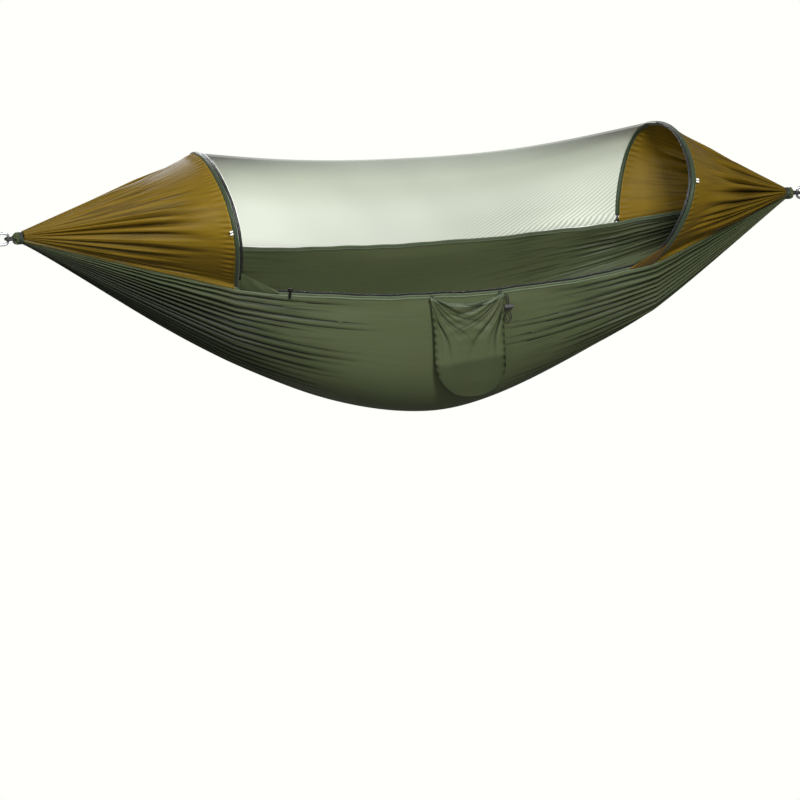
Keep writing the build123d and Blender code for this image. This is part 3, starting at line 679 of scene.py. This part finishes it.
def make_piping(side):
    """Thin pale piping along the inboard edge of the hoop's trim."""
    name = SIDES[side]
    first, last, reach = PIPING[side]
    path, outward, axis = hoop_part(side, first, last)
    edge = path - axis * reach + outward * 0.0004
    piping = sheet_grid(f"hoop_piping_{name}", tube_along(edge, 0.0010, 8), close=True)
    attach(piping, f"hoop_{name}")
    paint(piping, "pale_cloth")


def make_tags(side):
    """Two short folded tape tabs on the outboard edge of the sleeve."""
    name = SIDES[side]
    steps, tag_w, gap, lift, outboard = 2000, 0.0048, 0.004, 0.0055, 0.0072
    path, outward, axis = hoop_frame(side, hoop_line(side, steps))
    index = int(TAG_SHARE[side] * steps)
    way = path[index + 1] - path[index - 1]
    way /= np.linalg.norm(way)
    half = [(0, 0.0007), (0.003, 0.0012), (0.007, 0.0013), (0.0094, 0.0008), (0.0098, 0)]
    loop = half + [(a, -b) for a, b in half[-2::-1]]
    for number, step in enumerate((-gap, gap)):
        spot = path[index] + way * step + outward[index] * lift + axis[index] * outboard
        rows = [
            [spot + way * across + axis[index] * a + outward[index] * b for a, b in loop]
            for across in np.linspace(-tag_w / 2, tag_w / 2, 5)
        ]
        tag = sheet_grid(f"hoop_tag_tab_{name}_{number + 1}", np.array(rows))
        thicken(tag, 0.0005)
        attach(tag, f"hoop_{name}")
        dress(tag, f"hoop_tag_{name}", "pale_cloth")


def make_gusset(side):
    """Triangle of slack cloth in the corner between the near foot of a hoop and the rim."""
    name = SIDES[side]
    low_half, (high_half, high_up) = FOOT_HALF, HOOP_OUTLINE[side][1]
    tall, reach = GUSSET_TALL[side], GUSSET_REACH[side]
    peak_half = low_half + (high_half - low_half) * tall / high_up
    peak_z = FOOT_Z + math.cos(HOOP_LEAN[side]) * tall
    peak_x = math.sin(HOOP_LEAN[side]) * tall + GUSSET_START - 0.011
    share = np.linspace(0, 1, 40)[:, None]
    rise = np.linspace(0, 1, 24)[None, :]
    left = 1 - share
    s = HOOP_S[side] - side * (GUSSET_START + (reach - GUSSET_START) * share)
    foot = rim_path(s[:, 0], NEAR, OUTSIDE_HEM, -0.006)[:, None]
    top_y = -(rim_half(s) + OUTSIDE_HEM) - (peak_half - rim_half(s)) * left
    top_z = rim_z(s) + 0.001 + (peak_z - rim_z(s) - 0.001) * left * (1 - 0.22 * share)
    top = np.stack([along(s) + side * left * peak_x, top_y, top_z], axis=-1)
    points = foot * (1 - rise[..., None]) + top * rise[..., None]
    points[..., 1] -= 0.0016 * np.sin(math.pi * rise) * (1 + 0.6 * np.sin(13 * share + 4 * rise))
    cloth = sheet_grid(f"foot_gusset_cloth_{name}", points)
    thicken(cloth, CLOTH_T)
    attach(cloth, "hammock")
    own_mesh(cloth)
    # the right gusset gets a darker copy of the canopy nylon: painted shade for its shadowed corner
    slot, look = ("bed_cloth", "bed_nylon") if side == LEFT else ("canopy_cloth", "gusset_nylon")
    dress(cloth, f"foot_gusset_{name}", look)


# ---- gathered ends ----
def make_ruffle(side):
    """The cloth's end outside its binding: a flared ruffle in two lobes."""
    name = SIDES[side]
    share = np.linspace(0, 1, 60)[:, None]
    angle = np.linspace(0, 2 * math.pi, 240, endpoint=False)[None, :]
    pinch = np.exp(-(((share - 0.33) / 0.16) ** 2))
    full = 0.0165 - 0.0025 * pinch + 0.0045 * smooth((share - 0.40) / 0.35)
    lobes = 1 + 0.20 * np.cos(2 * angle + 0.9) * smooth((share - 0.35) / 0.4)
    folds = 0.0016 * np.sin(15 * angle + 3 * share) + 0.0009 * np.sin(27 * angle - 5 * share)
    close = np.sqrt(1 - 0.55 * smooth((share - 0.72) / 0.28))
    radius = (full * lobes + folds) * close
    reach = CLOTH_END + 0.0004 + BUNDLE_L * share + 0.0035 * np.sin(5 * angle + 1) * share**2
    outer = np.stack([along(side * reach), radius * np.cos(angle), radius * np.sin(angle)], axis=-1)
    inner = outer.copy()[::-1]
    inner[..., 1:] *= 0.55
    inner[: len(inner) // 2, :, 0] -= side * 0.006  # the turned-in cloth stops short of the edge
    ruffle = sheet_grid(f"end_ruffle_{name}", np.concatenate([outer, inner[:40]]), close=True)
    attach(ruffle, "hammock")
    dress(ruffle, f"end_channel_{name}", "bed_nylon")


def make_winding(side):
    """Turns of cord round the neck of the ruffle."""
    name = SIDES[side]
    turns, pitch, cord_r = 5, 0.0026, 0.0014
    angle = np.linspace(0, 2 * math.pi * turns, 64 * turns)
    start = CLOTH_END + 0.009 - turns * pitch / 2
    x = along(side * (start + pitch * angle / (2 * math.pi)))
    radius = 0.0176 + 0.0004 * np.sin(1.7 * angle)
    path = np.stack([x, radius * np.cos(angle), radius * np.sin(angle)], axis=-1)
    cord = sheet_grid(f"end_winding_{name}", tube_along(path, cord_r, 10), close=True)
    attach(cord, "hammock")
    dress(cord, f"end_binding_{name}", "binding_cord")


# ---- pocket ----
POCKET_ROWS, POCKET_HEM_ROWS, POCKET_COLS = 190, 9, 170


def pocket_point(x, y, z):
    """Pocket drawing: x along, y out of the bed, z up, hung from its top seam on the near hem."""
    y0 = -(float(rim_half(POCKET_S)) + HEM_T / 2 + 0.0032)
    z0 = float(rim_z(POCKET_S)) - 0.003
    c, n = math.cos(POCKET_TILT), math.sin(POCKET_TILT)
    place = (along(POCKET_S) + x, y0 + y * c + z * n, z0 - y * n + z * c)
    return np.stack(np.broadcast_arrays(*place), axis=-1)


def mouth_sag(q):
    """The mouth hangs in a curve between the pocket's two top corners."""
    return 0.027 * (1 - np.abs(q) ** 1.9)


def pocket_folds(x, z):
    """Folds that fan out from both top corners, with swags below the mouth, and their painted shade: dark
    in the fold creases, along the sides and over the lower part.
    """
    out, dark = 0.0, 0.0
    for corner, turn in ((-1, 0.4), (1, 2.1)):
        dx, dz = x - corner * POCKET_W / 2, z
        reach = np.hypot(dx, dz)
        angle = np.arctan2(-dz, -corner * dx)
        bend = 9 * angle + turn + 6 * reach + 0.5 * np.sin(31 * reach + 3 * angle)
        held = smooth((reach - 0.006) / 0.03) * np.exp(-((reach / 0.15) ** 3))
        out = out + 0.0070 * (np.abs(np.sin(bend)) ** 0.6 - 0.6) * held
        out = out + 0.0022 * np.sin(2.7 * bend + 1) * held
        # painted shade in the creases of the folds
        dark = dark + np.exp(-((np.sin(bend) / 0.20) ** 2)) * held
        dark = dark + 0.5 * np.exp(-((np.sin(2.7 * bend + 1) / 0.25) ** 2)) * held
    swag = np.sin(2 * math.pi * (-z - 1.6 * x**2) / 0.034 + 0.6)
    out = out + 0.0011 * swag * np.exp(-((x / 0.055) ** 2)) * np.exp(-(((z + 0.085) / 0.06) ** 2))
    slow = np.sin(21 * x + 13 * z + 0.7) + 0.6 * np.sin(38 * x - 17 * z)
    edge = np.exp(-(((np.abs(x - 0.02 * -z / POCKET_H) - POCKET_W / 2) / 0.012) ** 2))
    # painted shade along the sides, broken into dashes
    dark = dark + 0.7 * edge * (0.5 + 0.5 * np.sin(260 * z + 40 * x)) * smooth((-z - 0.03) / 0.05)
    # painted shade over the lower part of the pocket
    dark = dark + 0.30 * smooth((-z - 0.20 + 0.12 * x) / 0.022)
    return out + 0.0014 * slow * smooth(-z / 0.05), dark


def pocket_shell(top, bottom, rows, proud=0.0, thin=1.0):
    """Rings of the pocket, front then back, between two depths under its mouth, and their painted shade."""
    q = np.linspace(-1, 1, POCKET_COLS)[None, :]
    v = np.linspace(0, 1, rows)[:, None]
    depth = top + (bottom - top) * v
    down = depth - POCKET_HEM
    round_r = 1.25 * POCKET_R
    left_over = np.clip((depth - POCKET_H + round_r) / round_r, 0, 1)
    half = POCKET_W / 2 - 0.95 * round_r * (1 - np.sqrt(np.maximum(1 - left_over**2, 0)))
    half = half - 0.004 * smooth(depth / 0.12) + proud
    lean = 0.020 * (depth / POCKET_H)
    x = half * q + lean
    sag = mouth_sag(q) * np.exp(-np.maximum(down, 0) / 0.16) * (1 - smooth(depth / POCKET_H))
    z = -depth - sag
    lens = np.maximum(1 - q**2, 0) ** 0.5
    belly = 0.35 + 0.65 * smooth((depth - 0.02) / 0.12)
    full = (POCKET_T / 2) * lens * belly * (1 - 0.75 * smooth((depth - 0.27) / 0.06)) * thin
    crease, dark = pocket_folds(x, z)
    crease = crease * smooth((1 - np.abs(q)) / 0.08)
    front = pocket_point(x, -POCKET_T / 2 - full - proud - crease, z)
    back = pocket_point(x, -POCKET_T / 2 + full * 0.8 + proud, z)[:, -2:0:-1]
    return np.concatenate([front, back], axis=1), np.concatenate([dark, 0 * back[..., 0]], axis=1)


def make_pocket():
    """Sagging bag of cloth with its drawn hem."""
    shell, dark = pocket_shell(POCKET_HEM * 0.5, POCKET_H, POCKET_ROWS)
    # the fold-shade attribute carries the pocket's painted shade
    bag = sheet_grid("pocket_cloth", shell, close=True, attributes={"fold_shade": np.minimum(0.75, dark)})
    thicken(bag, CLOTH_T)
    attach(bag, "pocket")
    dress(bag, "pocket_bag", "bed_nylon")
    rings, _ = pocket_shell(0.0, POCKET_HEM, POCKET_HEM_ROWS, proud=0.0012, thin=1.1)
    rings[0] += (rings[1] - rings[0]) * 0.2  # a narrower first ring keeps the mouth's edge firm
    hem = sheet_grid("pocket_mouth_hem", rings, close=True)
    thicken(hem, 0.0016)
    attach(hem, "pocket")
    dress(hem, "pocket_top_hem", "binding_tape")


CORD_ROUTE = [
    (0.1181, -0.0104), (0.1246, -0.0105), (0.1298, -0.022), (0.1302, -0.040), (0.1298, -0.058),
    (0.1245, -0.072), (0.1265, -0.087), (0.1365, -0.094), (0.1445, -0.084), (0.142, -0.070),
    (0.1349, -0.057), (0.1347, -0.040), (0.1351, -0.022), (0.1295, -0.0052), (0.1181, -0.0044),
]


def make_drawstring():
    """Loop of thin cord out of the pocket's hem, through the cord lock and back."""
    curve = bpy.data.curves.new("drawstring_cord", "CURVE")
    curve.dimensions = "3D"
    spline = curve.splines.new("NURBS")
    spline.points.add(len(CORD_ROUTE) - 1)
    for point, (x, z) in zip(spline.points, CORD_ROUTE):
        point.co = (*pocket_point(x, -POCKET_T / 2, z), 1)
        point.radius = CORD_R
    spline.order_u = 3
    spline.use_endpoint_u = True
    spline.resolution_u = 12
    curve.bevel_depth = 1.0
    curve.bevel_resolution = 4
    cord = bpy.data.objects.new("drawstring_cord", curve)
    bpy.context.scene.collection.objects.link(cord)
    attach(cord, "pocket")
    dress(cord, "pocket_drawstring", "braid")


# ---- materials ----
BAND_PITCH = 0.31  # of a wave texture at scale 1
NYLON_WEAVE = 330  # scale of the wave textures: about a thread a millimetre
HARD_LOOKS = {
    "zip_slider": "blackened_zinc",
    "zip_pull_tab": "blackened_zinc",
    "pocket_corner_tabs": "webbing",
    "cord_lock_body": "black_plastic",
    "cord_lock_plunger": "black_plastic",
    "cord_lock_spring": "spring_steel",
}
HARD_LOOKS_PER_END = {
    "hoop_anchor_cups": "webbing",
    "end_rope_loop": "braid",
    "hoop_pole_sections": "fibreglass",
    "hoop_ferrules": "tumbled_aluminium",
    "hoop_shock_cord": "elastic_sheath",
    "hoop_tips": "black_plastic",
    "carabiner_frame": "tumbled_aluminium",
    "carabiner_gate": "tumbled_aluminium",
    "gate_spring": "spring_steel",
    "gate_rivet": "spring_steel",
}


def material(name):
    """A new node material: its tree and its shader."""
    made = bpy.data.materials.new(name)
    made.use_nodes = True
    tree = made.node_tree
    return tree, tree.nodes["Principled BSDF"]


def paint(obj, look):
    obj.data.materials.clear()
    obj.data.materials.append(bpy.data.materials[look])


def node(tree, kind, inputs=None, **settings):
    """A new node, with each input linked to a socket or set to a value."""
    made = tree.nodes.new(kind)
    for key, value in settings.items():
        setattr(made, key, value)
    for key, value in (inputs or {}).items():
        socket = made.inputs[key]
        if isinstance(value, bpy.types.NodeSocket):
            tree.links.new(value, socket)
        else:
            socket.default_value = value
    return made


def rgb(*values):
    """sRGB 0-255 to a linear colour."""
    linear = [v / 255 / 12.92 if v <= 10 else ((v / 255 + 0.055) / 1.055) ** 2.4 for v in values]
    return (*linear, 1.0)


def paler(colour, times, plus=0.0):
    return (*(min(1, times * c + plus) for c in colour[:3]), 1)


def cloth_place(tree):
    """Metres along and across the cloth."""
    return node(tree, "ShaderNodeUVMap", uv_map="cloth").outputs[0]


def cloth_coords(tree, scale):
    return node(tree, "ShaderNodeMapping", {"Vector": cloth_place(tree), "Scale": scale}).outputs[0]


def attribute(tree, name):
    return node(tree, "ShaderNodeAttribute", attribute_name=name).outputs["Fac"]


def noise(tree, coords, scale, detail):
    inputs = {"Vector": coords, "Scale": scale, "Detail": detail}
    return node(tree, "ShaderNodeTexNoise", inputs).outputs[0]


def bands(tree, coords, scale, direction, distortion=0.0):
    inputs = {"Vector": coords, "Scale": scale, "Distortion": distortion}
    return node(tree, "ShaderNodeTexWave", inputs, bands_direction=direction).outputs[1]


def math_node(tree, operation, *values, **settings):
    return node(tree, "ShaderNodeMath", dict(enumerate(values)), operation=operation, **settings).outputs[0]


def product(tree, a, b):
    return math_node(tree, "MULTIPLY", a, b)


def mapped(tree, value, source=(0, 1), target=(0, 1)):
    """A value carried from one range to another, and kept inside it."""
    ends = {"From Min": source[0], "From Max": source[1], "To Min": target[0], "To Max": target[1]}
    return node(tree, "ShaderNodeMapRange", {"Value": value, **ends}).outputs[0]


def mixed(tree, share, first, second):
    """The first colour at share 0, the second at 1."""
    return node(tree, "ShaderNodeMix", {0: share, 6: first, 7: second}, data_type="RGBA").outputs[2]


def bump(tree, height, distance, strength, **under):
    inputs = {"Height": height, "Distance": distance, "Strength": strength, **under}
    return node(tree, "ShaderNodeBump", inputs).outputs[0]


def link_shader(tree, shader, colour, normal, roughness):
    """Links what varies over the surface."""
    for name, source in (("Base Color", colour), ("Normal", normal), ("Roughness", roughness)):
        tree.links.new(source, shader.inputs[name])


def nylon(name, light, dark, sheen, rough, wrinkle=0.0008, border=False):
    """Thin coated nylon: fine weave, lengthwise wrinkles, painted shade in the fold valleys and in long
    streaks, and a border sewn to a hoop.
    """
    tree, shader = material(name)
    wide = noise(tree, cloth_coords(tree, (2.2, 5, 1)), 1.6, 4)
    worn = (0.98 * light[0], 0.82 * light[1], 0.78 * light[2], 1)
    # painted shade: the fold-shade attribute darkens the colour towards the dark colour in the fold valleys
    depth = math_node(tree, "MULTIPLY", attribute(tree, "fold_shade"), 1.25, use_clamp=True)
    colour = mixed(tree, depth, mixed(tree, wide, light, worn), dark)
    long = noise(tree, cloth_coords(tree, (5, 70, 1)), 1.0, 5)
    # painted shade: long streaks of the dark colour along the folds, where the streak mask lets them show
    streak_shade = product(tree, mapped(tree, long, (0.47, 0.66), (0, 0.5)), attribute(tree, "streak_shade_mask"))
    colour = mixed(tree, streak_shade, colour, dark)
    if border:
        from_hoop = node(tree, "ShaderNodeSeparateXYZ", {0: cloth_place(tree)}).outputs[0]
        sewn = mapped(tree, from_hoop, (0.006, 0.0075), (0.7, 0))
        colour = mixed(tree, sewn, colour, paler(light, 1.5))
    warp, weft = (bands(tree, cloth_place(tree), NYLON_WEAVE, way) for way in "XY")
    wrinkles = bump(tree, long, wrinkle, 0.8)
    normal = bump(tree, math_node(tree, "ADD", warp, weft), 0.00006, 0.5, Normal=wrinkles)
    link_shader(tree, shader, colour, normal, mapped(tree, long, target=(rough - 0.06, rough + 0.1)))
    shader.inputs["Sheen Weight"].default_value = sheen
    shader.inputs["Sheen Roughness"].default_value = 0.45
    shader.inputs["Specular IOR Level"].default_value = 0.13


def woven(name, light, dark, rough, stitch=None, pitch=0.0012):
    """Narrow woven tape: ribs across it, worn tone, and a row of stitches at a distance across."""
    tree, shader = material(name)
    flat = cloth_place(tree)
    wear = noise(tree, cloth_coords(tree, (30, 90, 1)), 1.0, 4)
    colour = mixed(tree, wear, light, dark)
    height = bands(tree, flat, BAND_PITCH / pitch, "X", distortion=0.4)
    if stitch is not None:
        place = node(tree, "ShaderNodeSeparateXYZ", {0: flat}).outputs
        off = math_node(tree, "ABSOLUTE", math_node(tree, "SUBTRACT", place[1], stitch))
        line = mapped(tree, off, (0, 0.0011), (1, 0))
        beat = math_node(tree, "SINE", product(tree, place[0], 1600.0))
        thread = product(tree, line, mapped(tree, beat, (-1, 1), (0.35, 1)))
        colour = mixed(tree, thread, colour, paler(light, 2.6, 0.05))
        height = math_node(tree, "ADD", height, thread)
    roughness = mapped(tree, wear, target=(rough - 0.08, rough + 0.1))
    link_shader(tree, shader, colour, bump(tree, height, 0.00025, 0.7), roughness)


def solid_look(name, light, dark, rough, grain, depth, metallic=0.0):
    """Moulded, braided or metal surface from the piece's own place: tone, wear and grain."""
    tree, shader = material(name)
    coords = node(tree, "ShaderNodeTexCoord").outputs["Object"]
    wear = noise(tree, coords, 90.0, 5)
    fine = noise(tree, coords, float(grain), 3)
    roughness = mapped(tree, wear, target=(rough - 0.08, rough + 0.12))
    link_shader(tree, shader, mixed(tree, wear, light, dark), bump(tree, fine, depth, 0.5), roughness)
    shader.inputs["Metallic"].default_value = metallic


def insect_net():
    """Fine mesh seen at a distance: part clear, denser towards its fold line and painted greyer there as
    shade, with a slanting weave.
    """
    tree, shader = material("insect_net")
    uv = cloth_place(tree)
    place = node(tree, "ShaderNodeSeparateXYZ", {0: uv}).outputs
    # painted shade: the net turns greyer towards its fold line, where it is seen at a slant
    upper = mapped(tree, place[1], (0.30, 0.405))
    tone = mixed(tree, upper, rgb(180, 188, 168), rgb(142, 148, 137))
    slant = node(tree, "ShaderNodeMapping", {"Vector": uv, "Rotation": (0, 0, math.radians(-38))})
    lines = bands(tree, slant.outputs[0], 26.0, "Y")
    right, lower = mapped(tree, place[0], (0.05, 0.40)), mapped(tree, place[1], (0.30, 0.08))
    depth = product(tree, product(tree, right, lower), lines)
    colour = mixed(tree, depth, tone, rgb(132, 139, 122))
    tree.links.new(colour, shader.inputs["Base Color"])
    shader.inputs["Roughness"].default_value = 0.6
    density = product(tree, mapped(tree, depth, target=(0.70, 0.94)), attribute(tree, "body"))
    clear = node(tree, "ShaderNodeBsdfTransparent").outputs[0]
    mix = node(tree, "ShaderNodeMixShader", {0: density, 1: clear, 2: shader.outputs[0]})
    tree.links.new(mix.outputs[0], tree.nodes["Material Output"].inputs["Surface"])


def make_looks():
    """Every material of the hammock."""
    # the second colour of a nylon is the painted shade in the folds and streaks of the meshes that carry
    # them
    nylon("bed_nylon", rgb(64, 74, 50), rgb(3, 7, 2), 0.0, 0.46)
    nylon("canopy_nylon", rgb(97, 80, 14), rgb(24, 16, 1), 0.0, 0.5, border=True)
    # darker copy of the canopy nylon: painted shade for the right gusset's shadowed corner
    nylon("gusset_nylon", rgb(86, 66, 17), rgb(38, 29, 5), 0.05, 0.48)
    nylon("hoop_cloth", rgb(44, 56, 40), rgb(18, 24, 16), 0.08, 0.36, wrinkle=0.0003)
    woven("binding_tape", rgb(72, 83, 58), rgb(46, 55, 36), 0.5, stitch=0.0035)
    woven("zip_cloth", rgb(38, 40, 40), rgb(16, 17, 17), 0.28, pitch=0.0016)
    woven("pale_cloth", rgb(236, 236, 228), rgb(206, 208, 198), 0.6, pitch=0.0007)
    solid_look("webbing", rgb(48, 58, 42), rgb(26, 32, 22), 0.6, 700, 0.0003)
    solid_look("braid", rgb(18, 18, 17), rgb(6, 6, 6), 0.6, 900, 0.0004)
    solid_look("binding_cord", rgb(40, 47, 30), rgb(16, 20, 12), 0.6, 900, 0.0004)
    solid_look("black_plastic", rgb(16, 16, 17), rgb(8, 8, 9), 0.45, 1300, 0.00006)
    solid_look("fibreglass", rgb(66, 66, 62), rgb(40, 40, 38), 0.35, 800, 0.00004)
    solid_look("elastic_sheath", rgb(40, 40, 42), rgb(22, 22, 24), 0.7, 1500, 0.0002)
    solid_look("tumbled_aluminium", rgb(205, 207, 210), rgb(150, 152, 156), 0.34, 1500, 0.00004, 1.0)
    solid_look("spring_steel", rgb(180, 180, 184), rgb(120, 120, 126), 0.30, 2200, 0.00002, 1.0)
    solid_look("blackened_zinc", rgb(52, 52, 55), rgb(28, 28, 30), 0.32, 1800, 0.00003, 1.0)
    insect_net()


def paint_cad_nodes():
    """Materials for the hard pieces that keep their design shape."""
    looks = dict(HARD_LOOKS)
    for name in SIDES.values():
        looks.update({f"{piece}_{name}": look for piece, look in HARD_LOOKS_PER_END.items()})
    for name, look in looks.items():
        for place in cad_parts[name].material_slots:
            place.material = bpy.data.materials[look]


# ---- studio ----
WORLD_STRENGTH = 0.34
LAMPS = (  # name, place, size and power
    ("key", (1.7, -3.4, 2.75), 0.8, 250),
    ("side", (-1.3, -1.2, 2.2), 1.4, 75),
    ("fill", (0.7, -4.4, 0.8), 2.5, 56),
    ("back", (1.2, 4.2, 0.6), 2.0, 62),
)
FLOOR_SIZE, FLOOR_BELOW = 60.0, 0.9
CAMERA_AZIMUTH, CAMERA_ELEVATION, CAMERA_ROLL = (math.radians(a) for a in (16.9255, 18.3985, 2.12))
CAMERA_DISTANCE, CAMERA_LENS, CAMERA_SHIFT = 14.340, 207.18, (-0.01534, -0.23100)


def make_studio():
    """Soft white light from all round, with four lamps."""
    world = bpy.data.worlds.new("studio")
    bpy.context.scene.world = world
    world.use_nodes = True
    background = world.node_tree.nodes["Background"]
    background.inputs["Color"].default_value = (1, 1, 0.99, 1)
    background.inputs["Strength"].default_value = WORLD_STRENGTH
    for name, place, size, power in LAMPS:
        lamp = bpy.data.lights.new(name, "AREA")
        lamp.size = size
        lamp.energy = power
        made = bpy.data.objects.new(name, lamp)
        made.location = Vector(place)
        aim = Vector((MID_X, 0, -0.2)) - made.location
        made.rotation_euler = aim.to_track_quat("-Z", "Y").to_euler()
        bpy.context.scene.collection.objects.link(made)
    make_floor()


def make_floor():
    """A wide pale floor, evenly bright to the eye."""
    size, height = FLOOR_SIZE, cad_low.z - FLOOR_BELOW
    corners = [(x, y, height) for x, y in ((-size, -size), (size, -size), (size, size), (-size, size))]
    mesh = bpy.data.meshes.new("floor")
    mesh.from_pydata(corners, [], [(0, 1, 2, 3)])
    floor = bpy.data.objects.new("floor", mesh)
    bpy.context.scene.collection.objects.link(floor)
    tree, shader = material("floor")
    shader.inputs["Base Color"].default_value = (0.14, 0.14, 0.13, 1)
    glow = node(tree, "ShaderNodeEmission", {"Color": (1, 1, 0.965, 1), "Strength": 1.0})
    seen = node(tree, "ShaderNodeLightPath").outputs["Is Camera Ray"]
    mix = node(tree, "ShaderNodeMixShader", {0: seen, 1: shader.outputs[0], 2: glow.outputs[0]})
    tree.links.new(mix.outputs[0], tree.nodes["Material Output"].inputs["Surface"])
    paint(floor, "floor")


def make_camera():
    """The view from above the near left, far off with a long lens."""
    flat = math.cos(CAMERA_ELEVATION)
    forward = Vector(
        (math.sin(CAMERA_AZIMUTH) * flat, math.cos(CAMERA_AZIMUTH) * flat, -math.sin(CAMERA_ELEVATION))
    )
    lens = bpy.data.cameras.new("camera")
    lens.sensor_width = 36
    lens.lens = CAMERA_LENS
    lens.shift_x, lens.shift_y = CAMERA_SHIFT
    camera = bpy.data.objects.new("camera", lens)
    camera.location = Vector((MID_X, 0, 0)) - forward * CAMERA_DISTANCE
    level = forward.to_track_quat("-Z", "Y").to_matrix()
    level.rotate(Quaternion(forward, -CAMERA_ROLL))
    camera.rotation_euler = level.to_euler()
    bpy.context.scene.collection.objects.link(camera)
    bpy.context.scene.camera = camera


# ---- the whole ----
make_camera()
make_studio()
bpy.context.scene.view_settings.view_transform = "Standard"
make_looks()
make_drawstring()
hems = [make_hem(NEAR, "near_edge"), make_hem(FAR, "far_edge")]
make_bed()
make_zip_tape()
make_pocket()
for side in SIDES:
    make_sleeve(side)
    make_hoop_zip(side)
    make_piping(side)
    make_tags(side)
    make_gusset(side)
    make_canopy(side)
    make_ruffle(side)
    make_winding(side)
make_net("far_net", "far_net_panel", 0.0, 0.0, 0.002)
make_net("net_door", "net_door_flap", DOOR_STANDOFF, DOOR_END, 0.003)
paint_cad_nodes()
